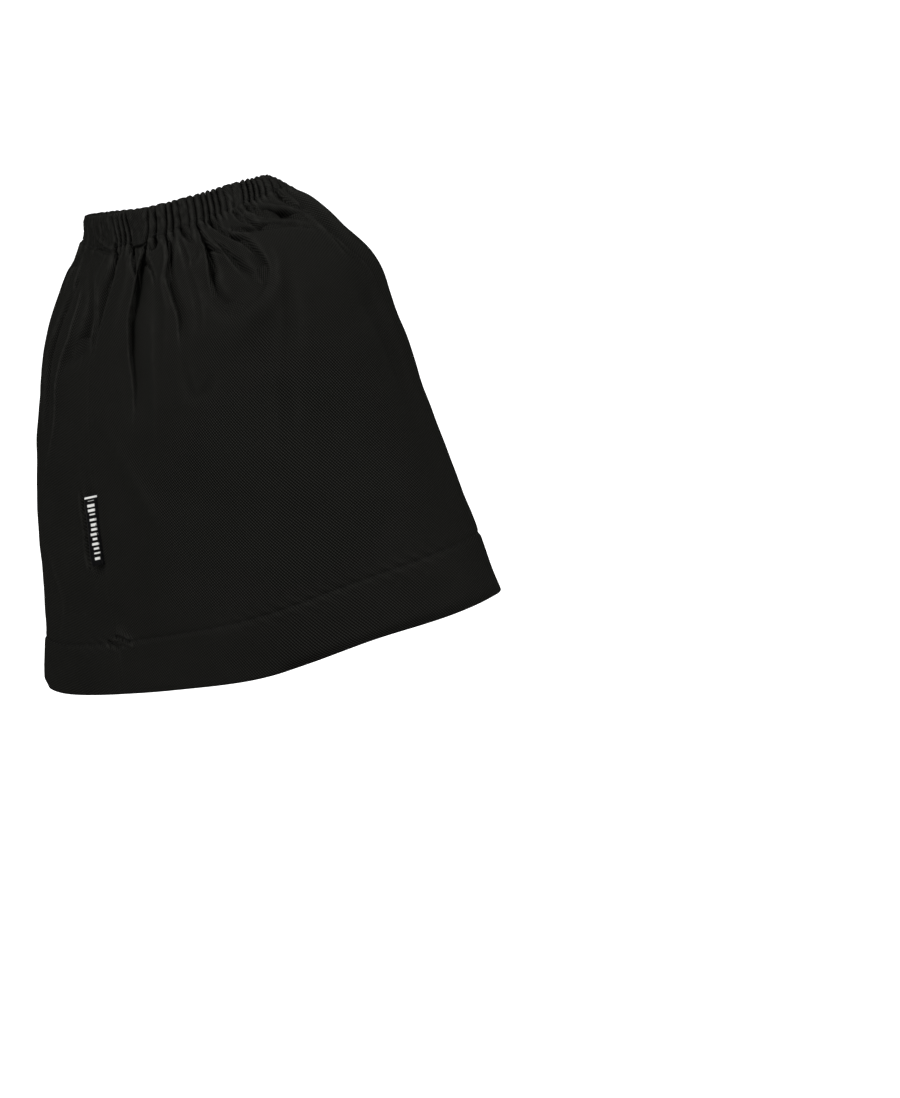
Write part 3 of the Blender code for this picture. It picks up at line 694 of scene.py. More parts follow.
class FoldLine:
    """A fold's line as a row of soft round hollows, which join smoothly into one trough or ridge."""

    hardness = 8.0            # how little two hollows add up where they meet
    felt_widths = 2.6         # the half widths out to which a hollow is felt
    least_width = 0.3         # in mm
    lean_sharpness = 2.0

    def __init__(self, fold: Fold, cloth_length: float, ring_length: float = 0.36,
                 step: float = 0.8 * MM) -> None:
        """Runs the line smoothly through the fold's points.

        Args:
            fold: The fold.
            cloth_length: Metres of cloth in a whole share.
            ring_length: Metres of cloth in one turn, about.
            step: The distance between two hollows.
        """
        table = np.array(fold.points) * (0.001, 0.001, 0.1, 0.1)
        sizes = np.diff(table[:, :2], axis=0) * (ring_length, cloth_length)
        knots = np.append(0.0, np.cumsum(np.linalg.norm(sizes, axis=1)))
        places = np.linspace(0.0, knots[-1], max(4, round(knots[-1] / step)))
        rows = smooth_rows(places, knots, table)
        self.steep = fold.steep
        self.undercut = fold.undercut
        self.cloth_length = cloth_length
        self.middle = float(rows[:, 0].mean())
        self.offsets = rows[:, 0] - self.middle
        self.shares = rows[:, 1]
        self.widths = np.maximum(rows[:, 2], self.least_width) * MM
        self.depths = rows[:, 3] * MM
        self.reach = self.felt_widths * float(self.widths.max()) * (1.0 + abs(self.steep))
        run = np.stack([np.gradient(rows[:, 0]) * ring_length, np.gradient(rows[:, 1]) * cloth_length])
        self.run = run / np.linalg.norm(run, axis=0)
        spacing = places[1] - places[0]
        self.shares_of_one = np.minimum(spacing / (self.widths * math.sqrt(math.pi / self.hardness)), 1.0)

    def moves(self, share: float, arounds: Array, length: float) -> Array:
        """How the fold moves each place of a row.

        Args:
            share: The row's place down the cloth.
            arounds: The places round it.
            length: The row's length round the cover.

        Returns:
            Three rows: out of the cloth, below 0 in a trough, then round the cover, then down the cloth.
        """
        moves = np.zeros((3, len(arounds)))
        reach = self.reach / self.cloth_length
        if not self.shares.min() - reach < share < self.shares.max() + reach:
            return moves
        away = turned_apart(arounds, self.middle) * length
        line = self.offsets * length
        near = np.flatnonzero((away > line.min() - self.reach) & (away < line.max() + self.reach))
        if not near.size:
            return moves
        off_around = away[near][:, None] - line
        off_down = (share - self.shares) * self.cloth_length
        along = (off_around * self.run[0] + off_down * self.run[1]) / self.widths
        across = (off_around * self.run[1] - off_down * self.run[0]) / self.widths
        lean = self.steep * np.tanh(self.lean_sharpness * across)
        across = np.abs(across) / (1.0 - lean)
        wall = across ** (2.0 + 2.0 * np.maximum(lean, 0.0))
        power = np.exp(-self.hardness * (along ** 2 + wall)) * self.shares_of_one
        for sign in (1.0, -1.0):
            depth = np.maximum(sign * self.depths, 0.0) ** self.hardness
            total = power @ depth
            height = total ** (1.0 / self.hardness)
            moves[0, near] -= sign * height
            if sign > 0.0 and self.undercut:
                under = self.undercut * height / np.maximum(total, 1e-60)
                moves[1, near] += under * (power @ (depth * self.run[1]))
                moves[2, near] -= under * (power @ (depth * self.run[0]))
        return moves


@dataclass
class ClothForm:
    """The worn cloth: the plain form with its gathers, folds, waves, seams and small creases."""

    plain: PlainForm = field(default_factory=PlainForm)
    gathers: Gathers = field(default_factory=Gathers)
    folds: tuple[Fold, ...] = FOLDS
    lips: tuple[Stretch, ...] = FOOT_LIPS
    waves: tuple[HemWave, ...] = HEM_WAVES
    curls: tuple[HemCurl, ...] = HEM_CURLS
    dents: tuple[Dent, ...] = DENTS
    puckers: tuple[Stretch, ...] = PUCKERS
    wave_reach: float = 0.30
    share_length: float = 0.168        # metres of cloth for a whole share
    seam_groove: float = 0.12 * MM
    seam_half_width: float = 0.7 * MM
    allowance_rise: float = 0.06 * MM
    allowance_width: float = 8.0 * MM
    stitch_groove: float = 0.36 * MM
    stitch_half_width: float = 0.75 * MM
    hem_rise: float = 0.30 * MM
    pucker_pitch: float = 5.6 * MM       # along the hem's stitching
    pucker_slant: float = 4.5 * MM       # and down across it
    pucker_reach: float = 4.0 * MM
    panel_ripple: float = 0.22 * MM
    panel_ripple_from: float = 0.10
    panel_ripple_over: float = 0.15
    casing_ripple: float = 0.13 * MM
    casing_ripple_ends: Pair = (1.3, 0.5)      # of it, at the top edge and the foot
    lip_ripple: float = 0.12 * MM
    lip_fading: float = 0.03             # the shares over which the panel under a lip comes back up
    lip_least: float = 0.45 * MM         # a lip that drops further than this stands out of the casing
    lip_out: float = 0.75
    lip_in: float = -0.60                # and the panel under it stands in
    curl_end: float = 0.02               # in turns
    allowance_edges: Pair = (1.0 * MM, 1.5 * MM)
    hem_edge: Pair = (0.5 * MM, 2.0 * MM)      # where the doubled cloth starts, and how softly

    def __post_init__(self) -> None:
        """Makes the folds' lines ready."""
        self.lines = [FoldLine(fold, self.share_length) for fold in self.folds]

    def fold_moves(self, share: float, arounds: Array, length: float) -> Array:
        """How all troughs and ridges move the places at one share: out, round the cover and down."""
        return sum(line.moves(share, arounds, length) for line in self.lines)

    def lip_shape(self, arounds: Array) -> Array:
        """How far the casing's foot hangs down at each around."""
        shape = sum(lip.heights(arounds, power=4) for lip in self.lips)
        return shape + self.lip_ripple * rippled(LIP_RIPPLES, arounds)

    def lip_strength(self, share: float) -> float:
        """How much of the lips' drop a row takes: all of it at the casing's foot."""
        if share <= CASING_FOOT:
            return (share / CASING_FOOT) ** 2
        return math.exp(-(share - CASING_FOOT) / self.lip_fading)

    def hem_waves(self, share: float, arounds: Array) -> tuple[Array, Array]:
        """How the hem's waves move a row.

        Args:
            share: The row's place down the cloth.
            arounds: The places round it.

        Returns:
            How far they stand out, and how far they hang below the plain edge.
        """
        strength = ease((share - 1.0 + self.wave_reach) / self.wave_reach)
        out, drop = np.zeros(len(arounds)), np.zeros(len(arounds))
        for wave in self.waves:
            shape = np.exp(-(turned_apart(arounds, wave.around) / wave.half_span) ** 2)
            out += wave.out * MM * strength * shape
            drop += wave.drop * MM * strength * shape
        return out, drop

    def curl_depths(self, share: float, arounds: Array) -> Array:
        """How far the hem's edge rolls in at one share, softly begun and ended along the hem.

        Args:
            share: The row's place down the cloth.
            arounds: The places round it.

        Returns:
            The depths.
        """
        depth = np.zeros(len(arounds))
        for curl in self.curls:
            along = turned_apart(arounds, (curl.start + curl.end) / 2.0)
            ends = ease(((curl.end - curl.start) / 2.0 - np.abs(along)) / self.curl_end)
            depth += curl.depth * MM * (max(share - curl.share, 0.0) / (1.0 - curl.share)) ** 2 * ends
        return depth

    def dent_heights(self, share: float, arounds: Array, length: float) -> Array:
        """Height of the small hollows at one share.

        Args:
            share: The row's place down the cloth.
            arounds: The places round it.
            length: The row's length round.

        Returns:
            The heights.
        """
        height = np.zeros(len(arounds))
        for dent in self.dents:
            down = (share - dent.share) * self.share_length / (dent.half_down * MM)
            across = turned_apart(arounds, dent.around) * length / (dent.half_across * MM)
            height -= dent.depth * MM * np.exp(-across ** 2 - down ** 2)
        return height

    def seam_heights(self, arounds: Array, length: float) -> Array:
        """The seam's groove, and the low step of the allowance that lies behind it.

        Args:
            arounds: The places round it.
            length: The row's length round.

        Returns:
            The heights.
        """
        away = turned_apart(arounds, SEAM_AROUND) * length
        groove = -self.seam_groove * np.exp(-(away / self.seam_half_width) ** 2)
        near, far = self.allowance_edges
        step = ease(away / near) * ease((self.allowance_width - away) / far)
        return groove + self.allowance_rise * step

    def hem_heights(self, share: float, arounds: Array, length: float) -> Array:
        """The hem's stitched groove, its doubled cloth and the ripples where the stitching ropes.

        Args:
            share: The row's place down the cloth.
            arounds: The places round it.
            length: The row's length round.

        Returns:
            The heights.
        """
        below = (share - HEM_LINE) * self.share_length
        groove = -self.stitch_groove * math.exp(-(below / self.stitch_half_width) ** 2)
        before, over = self.hem_edge
        doubled = self.hem_rise * float(ease(np.array((below + before) / over)))
        ripple = sum(pucker.heights(arounds) for pucker in self.puckers)
        slant = arounds * length / self.pucker_pitch + below / self.pucker_slant
        ripple *= np.sin(2.0 * math.pi * slant) * math.exp(-(below / self.pucker_reach) ** 2)
        return groove + doubled + ripple

    def soft_creases(self, share: float, arounds: Array) -> Array:
        """The panel's faint unevenness, which starts a little below the casing."""
        strength = float(ease(np.array((share - self.panel_ripple_from) / self.panel_ripple_over)))
        return self.panel_ripple * strength * rippled(PANEL_RIPPLES, arounds, share)

    def casing_creases(self, share: float, arounds: Array) -> Array:
        """The small wrinkles of the doubled cloth over the elastic, strongest near its top edge.

        Args:
            share: The row's place down the cloth.
            arounds: The places round it.

        Returns:
            The heights.
        """
        down = share / CASING_FOOT
        height = np.interp(down, (0.0, 1.0), self.casing_ripple_ends)
        return self.casing_ripple * height * rippled(CASING_RIPPLES, arounds, down)

    def row(self, share: float, arounds: Array, folded: bool = True) -> tuple[Array, Array]:
        """One row of the cloth.

        Args:
            share: The row's place down the cloth.
            arounds: The places round it, in turns.
            folded: False leaves out the gathers and folds.

        Returns:
            The outer points, and the directions in which the cloth has its thickness.
        """
        points, length = self.plain.ring(share, arounds)
        normals = self.plain.normals(share, arounds)
        out, drop = self.hem_waves(share, arounds)
        lips = self.lip_shape(arounds) * self.lip_strength(share)
        aside = np.zeros((2, len(arounds)))
        if folded:
            lifted, *aside = self.fold_moves(share, arounds, length)
            out = out + self.gathers.crests(share, arounds, length) + lifted
            stands = self.lip_out if share <= CASING_FOOT else self.lip_in
            out = out + np.maximum(lips - self.lip_least, 0.0) * stands
        if folded and share <= CASING_FOOT:
            out = out + self.casing_creases(share, arounds)
        if folded and share > CASING_FOOT:
            out = (out - self.curl_depths(share, arounds) + self.dent_heights(share, arounds, length)
                   + self.seam_heights(arounds, length) + self.hem_heights(share, arounds, length)
                   + self.soft_creases(share, arounds))
        along, down = self.plain.directions(share, arounds)
        points = points + normals * out[:, None] + along * aside[0][:, None] + down * aside[1][:, None]
        points[:, 2] -= drop + lips
        return points, normals


# ---- Shader helpers ----
def new_node(tree: Tree, kind: str, **values: object) -> Node:
    """Adds a node and sets its properties.

    Args:
        tree: The tree.
        kind: The node's type.
        values: Its properties.

    Returns:
        The node.
    """
    node = tree.nodes.new(kind)
    for name, value in values.items():
        setattr(node, name, value)
    return node


def feed(socket: Socket, source: Source) -> None:
    """Links a socket to another, or sets its value.

    Args:
        socket: The socket.
        source: The other socket, or the value.
    """
    if isinstance(source, Socket):
        socket.id_data.links.new(source, socket)
    else:
        socket.default_value = source


def fed(node: Node, sources: dict[int | str, Source]) -> Node:
    """Feeds some of a node's inputs.

    Args:
        node: The node.
        sources: What feeds them, by their numbers or names.

    Returns:
        The same node.
    """
    for key, source in sources.items():
        feed(node.inputs[key], source)
    return node


def next_node(kind: str, *sources: Source, **values: object) -> Node:
    """Adds a node to the tree in which its sources stand, at least one of them a socket."""
    return new_node(next(source for source in sources if isinstance(source, Socket)).id_data, kind, **values)


def calculate(operation: str, *sources: Source) -> Socket:
    """The result of a Math node."""
    node = next_node("ShaderNodeMath", *sources, operation=operation)
    return fed(node, dict(enumerate(sources))).outputs[0]


def times(first: Source, second: Source) -> Socket:
    """The product of two values."""
    return calculate("MULTIPLY", first, second)


def plus(first: Source, second: Source) -> Socket:
    """The sum of two values."""
    return calculate("ADD", first, second)


def minus(first: Source, second: Source) -> Socket:
    """The first value less the second."""
    return calculate("SUBTRACT", first, second)


def remap(value: Socket, *limits: float) -> Socket:
    """The result of a clamped Map Range node, from the first two limits to the last two."""
    return fed(next_node("ShaderNodeMapRange", value), dict(enumerate((value, *limits)))).outputs[0]


def mix_colours(factor: Source, first: Source, second: Source, blend: str = "MIX") -> Socket:
    """The result of a colour Mix node, which shows the second colour where the factor is 1."""
    node = next_node("ShaderNodeMix", factor, first, second, data_type="RGBA", blend_type=blend)
    return fed(node, {0: factor, 6: first, 7: second}).outputs[2]


def noise(vector: Socket, scale: Source, detail: float = 3.0, roughness: float = 0.55) -> Socket:
    """The value of a Noise texture."""
    sources = {"Vector": vector, "Scale": scale, "Detail": detail, "Roughness": roughness}
    return fed(next_node("ShaderNodeTexNoise", vector), sources).outputs[0]


def seen_and_shed(tree: Tree, seen: float, shed: float) -> Socket:
    """A studio surface's strength, where it is seen itself and where it sheds light on other things."""
    path = new_node(tree, "ShaderNodeLightPath")
    return remap(path.outputs["Is Camera Ray"], 0.0, 1.0, shed, seen)


def new_group(name: str, inputs: dict[str, tuple[str, float]],
              outputs: tuple[str, ...]) -> tuple[Tree, Node, Node]:
    """A shader node group with its sockets.

    Args:
        name: The group's name.
        inputs: For each input's name, its kind (Float or Vector) and its value where it isn't linked.
        outputs: The names of its values.

    Returns:
        The group, its input node and its output node.
    """
    group = bpy.data.node_groups.new(name, "ShaderNodeTree")
    for label, (kind, value) in inputs.items():
        socket = group.interface.new_socket(label, in_out="INPUT", socket_type=f"NodeSocket{kind}")
        if kind == "Float":
            socket.default_value = value
    for label in outputs:
        group.interface.new_socket(label, in_out="OUTPUT", socket_type="NodeSocketFloat")
    return group, group.nodes.new("NodeGroupInput"), group.nodes.new("NodeGroupOutput")


def use_group(tree: Tree, group: Tree, **sources: Source) -> Node:
    """Places a group in a tree. A source has the name of its input, with _ for each space."""
    node = new_node(tree, "ShaderNodeGroup", node_tree=group)
    return fed(node, {name.replace("_", " "): source for name, source in sources.items()})


class SharedEffects:
    """The shader groups that more than one finish uses, each built once."""

    rib_course = (0.8572, 0.5150)        # a steep twill: its ribs stand 59 degrees from the weft
    float_course = (0.4230, -0.9060)     # the floats' ends line up the other way, across the ribs
    float_pitch = 1.12                   # of the ribs' pitch
    fuzz_limits = (0.3, 0.7)             # between which the fuzz mostly stays
    speck_scale = 210.0                  # of the specks of lint, for each metre
    speck_edge = (0.03, 0.07)            # how far out a speck is full, and where it ends
    specks_where = (0.60, 0.70)          # the noise over which they show
    broad_part = 0.12                    # of the lightening, away from the crests

    def __init__(self) -> None:
        """Builds the groups."""
        self.twill = self.build_twill()
        self.fuzz = self.build_fuzz()
        self.lightening = self.build_lightening()

    @staticmethod
    def wave_over(cloth: Node, course: Pair, pitch: Socket, shift: Socket) -> Socket:
        """A wave from 0 to 1 over the cloth.

        Args:
            cloth: The node that splits the map into across and down.
            course: How far the wave runs across and down, as parts of 1.
            pitch: The distance from crest to crest.
            shift: The part of a pitch by which it is moved.

        Returns:
            The wave.
        """
        place = plus(times(cloth.outputs[0], course[0]), times(cloth.outputs[1], course[1]))
        turns = plus(calculate("DIVIDE", place, pitch), shift)
        wave = calculate("SINE", times(turns, 2.0 * math.pi))
        return remap(wave, -1.0, 1.0, 0.0, 1.0)

    @classmethod
    def build_twill(cls) -> Tree:
        """Steep ribs of a twill, crossed by the ends of its floats, from a map in metres.

        Returns:
            The group.
        """
        group, given, result = new_group(
            "twill_ribs", {"Cloth": ("Vector", 0.0), "Rib Pitch": ("Float", 0.0007),
                           "Unevenness": ("Float", 0.25)}, ("Rib", "Float"))
        split = fed(new_node(group, "ShaderNodeSeparateXYZ"), {0: given.outputs["Cloth"]})
        slub = times(minus(noise(given.outputs["Cloth"], scale=260.0, detail=2.0), 0.5),
                     given.outputs["Unevenness"])
        pitch = given.outputs["Rib Pitch"]
        rib = cls.wave_over(split, cls.rib_course, pitch, slub)
        ends = cls.wave_over(split, cls.float_course, times(pitch, cls.float_pitch), slub)
        fed(result, {"Rib": rib, "Float": times(ends, rib)})
        return group

    @classmethod
    def build_fuzz(cls) -> Tree:
        """Fine fibre ends that make the surface soft.

        Returns:
            The group.
        """
        group, given, result = new_group(
            "fibre_fuzz", {"Place": ("Vector", 0.0), "Fineness": ("Float", 2600.0)}, ("Fuzz", "Lint"))
        place = given.outputs["Place"]
        fine = noise(place, given.outputs["Fineness"], detail=2.0, roughness=0.6)
        specks = fed(new_node(group, "ShaderNodeTexVoronoi"), {"Vector": place, "Scale": cls.speck_scale})
        near = remap(specks.outputs["Distance"], *cls.speck_edge, 1.0, 0.0)
        rare = remap(noise(place, scale=60.0, detail=1.0), *cls.specks_where, 0.0, 1.0)
        fed(result, {"Fuzz": fine, "Lint": times(near, rare)})
        return group

    @classmethod
    def build_lightening(cls) -> Tree:
        """Broad uneven lightening of the colour, stronger on the sharp crests of folds.

        Returns:
            The group.
        """
        group, given, result = new_group(
            "cloth_lightening", {"Place": ("Vector", 0.0), "Crest": ("Float", 0.0),
                             "Strength": ("Float", 1.0)}, ("Lightened",))
        broad = remap(noise(given.outputs["Place"], scale=28.0, detail=4.0), 0.35, 0.72, 0.0, 1.0)
        broken = remap(noise(given.outputs["Place"], scale=420.0, detail=3.0), 0.35, 0.65, 0.3, 1.0)
        # The colour turns lighter on the sharp crests of folds, and in broad uneven patches
        crest_lightened = times(given.outputs["Crest"], broken)
        both = plus(times(broad, cls.broad_part), crest_lightened)
        feed(result.inputs["Lightened"], times(both, given.outputs["Strength"]))
        return group


class ClothFace(Enum):
    """The two faces of the drill: the right side has crisp ribs, and the wrong side flatter ones."""

    RIGHT = "right"
    WRONG = "wrong"


@dataclass(frozen=True)
class DrillFinish:
    """Black cotton drill, with painted shade in its twill's valleys and painted light on its ribs."""

    name: str
    face: ClothFace = ClothFace.RIGHT
    # deep is painted shade in the twill's rib valleys, and lit is painted light on its ribs
    deep: Triple = (0.0010, 0.0010, 0.0008)
    lit: Triple = (0.0177, 0.0177, 0.0162)
    lightened: Triple = (0.0155, 0.0154, 0.0140)
    lint: Triple = (0.022, 0.022, 0.021)
    rib_pitch: float = 0.7600 * MM      # the ribs meet where the map closes round the cloth
    rib_relief: float = 0.085 * MM
    float_part: float = 0.65             # of the weave, which the floats' ends make
    fuzz_relief: float = 0.03 * MM
    unevenness: float = 0.30             # of the ribs, in pitches
    lightening: float = 0.8
    lint_strength: float = 0.5
    flatter: float = 0.55                # the ribs of the wrong side, beside the right side's
    specular: float = 0.0
    roughness: Pair = (0.86, 1.0)

    def build(self, effects: SharedEffects) -> Material:
        """The material.

        Args:
            effects: The shared groups.

        Returns:
            A material that reads the piece's map "cloth", in metres, and its attribute "crest".
        """
        material, tree, shader = blank_material(self.name)
        cloth = new_node(tree, "ShaderNodeUVMap", uv_map="cloth").outputs[0]
        place = new_node(tree, "ShaderNodeTexCoord").outputs["Object"]
        crest = new_node(tree, "ShaderNodeAttribute", attribute_name="crest").outputs["Fac"]
        twill = use_group(tree, effects.twill, Cloth=cloth, Rib_Pitch=self.rib_pitch,
                          Unevenness=self.unevenness)
        fuzz = use_group(tree, effects.fuzz, Place=place)
        lightening = use_group(tree, effects.lightening, Place=place, Crest=crest, Strength=self.lightening)
        ribs = (1.0 - self.float_part) * (self.flatter if self.face is ClothFace.WRONG else 1.0)
        weave = plus(times(twill.outputs["Rib"], ribs), times(twill.outputs["Float"], self.float_part))
        # The weave's pattern paints shade into the rib valleys and light onto the ribs
        colour = mix_colours(weave, (*self.deep, 1.0), (*self.lit, 1.0))
        # Mixed towards a lighter colour on the sharp crests of folds and in broad patches
        colour = mix_colours(lightening.outputs["Lightened"], colour, (*self.lightened, 1.0))
        lint = times(fuzz.outputs["Lint"], self.lint_strength)
        roughness = remap(fuzz.outputs["Fuzz"], *effects.fuzz_limits, *self.roughness)
        fed(shader, {"Base Color": mix_colours(lint, colour, (*self.lint, 1.0)), "Roughness": roughness,
                     "Specular IOR Level": self.specular})
        add_bump(shader, plus(times(weave, self.rib_relief), times(fuzz.outputs["Fuzz"], self.fuzz_relief)))
        return material


@dataclass(frozen=True)
class TapeFinish:
    """Black woven label tape with a plain row of white woven bars, and no words."""

    name: str = "label_tape"
    ground: Triple = (0.0026, 0.0026, 0.0029)
    bar: Triple = (0.62, 0.62, 0.60)
    bar_pitch: float = 1.75 * MM
    bar_shares: Pair = (0.34, 0.66)     # of a pitch, uneven as the weave is
    bar_from: Pair = (0.10, 0.20)       # across the tape, from its root to its fold
    bar_to: Pair = (0.66, 0.84)
    softness: float = 0.05               # of a bar's edges, in parts of the pitch and of the width
    bare_ends: Pair = (2.2 * MM, 2.0 * MM)
    end_line: Pair = (0.7 * MM, 1.5 * MM)     # a white line across the tape near its top
    end_softness: float = 0.1 * MM
    weft_pitch: float = 0.28 * MM
    weft_painted_shade: float = 0.72
    relief: float = 0.04 * MM
    roughness: Pair = (0.50, 0.66)
    specular: float = 0.03
    fineness: float = 3200.0

    def build(self, effects: SharedEffects, length: float) -> Material:
        """The material.

        Args:
            effects: The shared groups.
            length: The tape's length, to keep its two ends free of bars.

        Returns:
            A material that reads the tape map: across from 0 to 1, and down in metres.
        """
        material, tree, shader = blank_material(self.name)
        tape = new_node(tree, "ShaderNodeUVMap", uv_map="tape").outputs[0]
        split = fed(next_node("ShaderNodeSeparateXYZ", tape), {0: tape})
        across, down = split.outputs[0], split.outputs[1]
        place = new_node(tree, "ShaderNodeTexCoord").outputs["Object"]
        pitches = calculate("DIVIDE", down, self.bar_pitch)
        turns = calculate("FRACT", pitches)
        uneven = fed(new_node(tree, "ShaderNodeTexWhiteNoise", noise_dimensions="1D"),
                     {"W": calculate("FLOOR", pitches)})
        parts = fed(new_node(tree, "ShaderNodeSeparateColor"), {0: uneven.outputs["Color"]})
        inside = remap(turns, 0.0, self.softness, 0.0, 1.0)
        for source, value, limits, sign in ((turns, parts.outputs[0], self.bar_shares, -1.0),
                                            (across, parts.outputs[1], self.bar_from, 1.0),
                                            (across, parts.outputs[2], self.bar_to, -1.0)):
            limit = remap(value, 0.0, 1.0, *limits)
            past = times(minus(source, limit), sign)
            inside = times(inside, remap(past, 0.0, self.softness, 0.0, 1.0))
        for past in (minus(down, self.bare_ends[0]), minus(length - self.bare_ends[1], down)):
            inside = times(inside, remap(past, 0.0, self.end_softness, 0.0, 1.0))
        start, end = self.end_line
        end_line = times(remap(down, start, start + self.end_softness, 0.0, 1.0),
                         remap(down, end - self.end_softness, end, 1.0, 0.0))
        white = calculate("MAXIMUM", inside, end_line)
        # Painted shade between the weft threads: the colour is darkened on the same wave as the bump
        weft = calculate("SINE", times(down, 2.0 * math.pi / self.weft_pitch))
        weft = remap(weft, -1.0, 1.0, self.weft_painted_shade, 1.0)
        colour = mix_colours(white, (*self.ground, 1.0), (*self.bar, 1.0))
        fuzz = use_group(tree, effects.fuzz, Place=place, Fineness=self.fineness)
        roughness = remap(fuzz.outputs["Fuzz"], *effects.fuzz_limits, *self.roughness)
        fed(shader, {"Base Color": mix_colours(1.0, colour, weft, blend="MULTIPLY"), "Roughness": roughness,
                     "Specular IOR Level": self.specular})
        add_bump(shader, times(plus(weft, white), self.relief))
        return material


@dataclass(frozen=True)
class ThreadFinish:
    """Black spun sewing thread, a little glossier than the cloth."""

    name: str = "sewing_thread"
    colour: Triple = (0.0035, 0.0035, 0.0034)
    light: Triple = (0.0085, 0.0085, 0.0082)
    roughness: float = 0.75
    specular: float = 0.04
    relief: float = 0.06 * MM
    fineness: float = 5200.0

    def build(self, effects: SharedEffects) -> Material:
        """The material.

        Args:
            effects: The shared groups.

        Returns:
            The material.
        """
        material, tree, shader = blank_material(self.name)
        place = new_node(tree, "ShaderNodeTexCoord").outputs["Object"]
        fuzz = use_group(tree, effects.fuzz, Place=place, Fineness=self.fineness)
        colour = mix_colours(fuzz.outputs["Fuzz"], (*self.colour, 1.0), (*self.light, 1.0))
        fed(shader, {"Base Color": colour, "Roughness": self.roughness, "Specular IOR Level": self.specular})
        add_bump(shader, times(fuzz.outputs["Fuzz"], self.relief))
        return material


def blank_material(name: str) -> tuple[Material, Tree, Node]:
    """A new material.

    Args:
        name: Its name.

    Returns:
        The material, its tree and its Principled shader.
    """
    material = bpy.data.materials.new(name)
    material.use_nodes = True
    tree = material.node_tree
    return material, tree, tree.nodes["Principled BSDF"]


def add_bump(shader: Node, height: Socket) -> None:
    """Turns a height in metres into the shader's normals."""
    bump = fed(next_node("ShaderNodeBump", height), {"Strength": 1.0, "Distance": 1.0, "Height": height})
    feed(shader.inputs["Normal"], bump.outputs[0])


# ---- Meshes ----
QUAD_CORNERS = ((0, 0), (0, 1), (1, 1), (1, 0))      # steps down and round from a face's first corner


def new_mesh_object(name: str, corners: Array, quads: Array) -> Piece:
    """A smooth shaded object at the origin.

    Args:
        name: Its name.
        corners: Its points.
        quads: The points of its four-sided faces.

    Returns:
        The object.
    """
    mesh = bpy.data.meshes.new(name)
    mesh.vertices.add(len(corners))
    mesh.vertices.foreach_set("co", corners.astype(np.float32).ravel())
    mesh.loops.add(quads.size)
    mesh.loops.foreach_set("vertex_index", quads.astype(np.int32).ravel())
    mesh.polygons.add(len(quads))
    mesh.polygons.foreach_set("loop_start", np.arange(0, quads.size, 4, dtype=np.int32))
    mesh.update(calc_edges=True)
    mesh.validate()
    mesh.shade_smooth()
    piece = bpy.data.objects.new(name, mesh)
    bpy.context.scene.collection.objects.link(piece)
    return piece


def put_map(piece: Piece, name: str, places: Array) -> None:
    """Gives a piece a named map, one place for each corner of each face."""
    layer = piece.data.uv_layers.new(name=name)
    layer.data.foreach_set("uv", places.astype(np.float32).ravel())


def put_crests(piece: Piece, grid: Array, normals: Array,
               sharpest: float = 900.0) -> None:
    """Stores how sharply the cloth bulges at each point, from 0 to 1, for the lighter colour on crests.

    Args:
        piece: The piece.
        grid: Its points by row and column.
        normals: Their directions.
        sharpest: The bend, in turns of a metre, that counts as 1.
    """
    lap = np.roll(grid, 1, axis=1) + np.roll(grid, -1, axis=1) - 2.0 * grid
    spacing = np.linalg.norm(np.roll(grid, -1, axis=1) - grid, axis=2) + 1e-9
    bulge = -np.einsum("ijk,ijk->ij", lap, normals) / spacing ** 2
    crest = np.clip(bulge / sharpest, 0.0, 1.0)
    attribute = piece.data.attributes.new("crest", "FLOAT", "POINT")
    attribute.data.foreach_set("value", crest.astype(np.float32).ravel())


def slow_part(values: Array, harmonics: int = 5) -> Array:
    """The slowly changing part of each row round the tube.

    Args:
        values: The rows.
        harmonics: How many waves round it are kept.

    Returns:
        The rows without the rest.
    """
    spectrum = np.fft.rfft(values, axis=1)
    spectrum[:, harmonics + 1:] = 0.0
    return np.fft.irfft(spectrum, n=values.shape[1], axis=1)


@dataclass
class TubeRows:
    """The rows of a closed wall round the cover, down its outside and then up its inside."""

    form: ClothForm
    arounds: Array
    points: list[Array] = field(default_factory=list)
    normals: list[Array] = field(default_factory=list)

    def put(self, points: Array, normals: Array) -> None:
        """Adds a row as it is."""
        self.points.append(points)
        self.normals.append(normals)

    def add(self, share: float, depth: float, inside: bool = False) -> None:
        """Adds the form's row at a share, under its surface by a depth. A row of the inside faces in."""
        points, out = self.form.row(float(share), self.arounds)
        self.put(points - out * depth, -out if inside else out)

    def weave(self, name: str, drill: Material) -> Piece:
        """The wall as a piece.

        Args:
            name: The piece's name.
            drill: Its cloth.

        Returns:
            The piece, with its map "cloth" in metres and its attribute "crest".
        """
        grid = np.stack(self.points)
        rows, columns = grid.shape[:2]
        row, column = np.meshgrid(np.arange(rows), np.arange(columns), indexing="ij")
        quads = np.stack([((row + r) % rows * columns + (column + c) % columns).ravel()
                          for r, c in QUAD_CORNERS], axis=1)
        piece = new_mesh_object(name, grid.reshape(-1, 3), quads)
        steps = np.linalg.norm(np.roll(grid, -1, axis=0) - grid, axis=2)
        down = np.concatenate([np.zeros((1, columns)), np.cumsum(slow_part(steps), axis=0)])
        down = np.concatenate([down, down[:, :1]], axis=1)
        across = np.append(self.arounds, self.arounds[0] + 1.0) * CLOTH_WIDTH
        places = [np.stack([across[column + c], down[row + r, column + c]], axis=-1) for r, c in QUAD_CORNERS]
        put_map(piece, "cloth", np.stack(places, axis=2).reshape(-1, 2))
        put_crests(piece, grid, np.stack(self.normals))
        piece.data.materials.append(drill)
        return piece


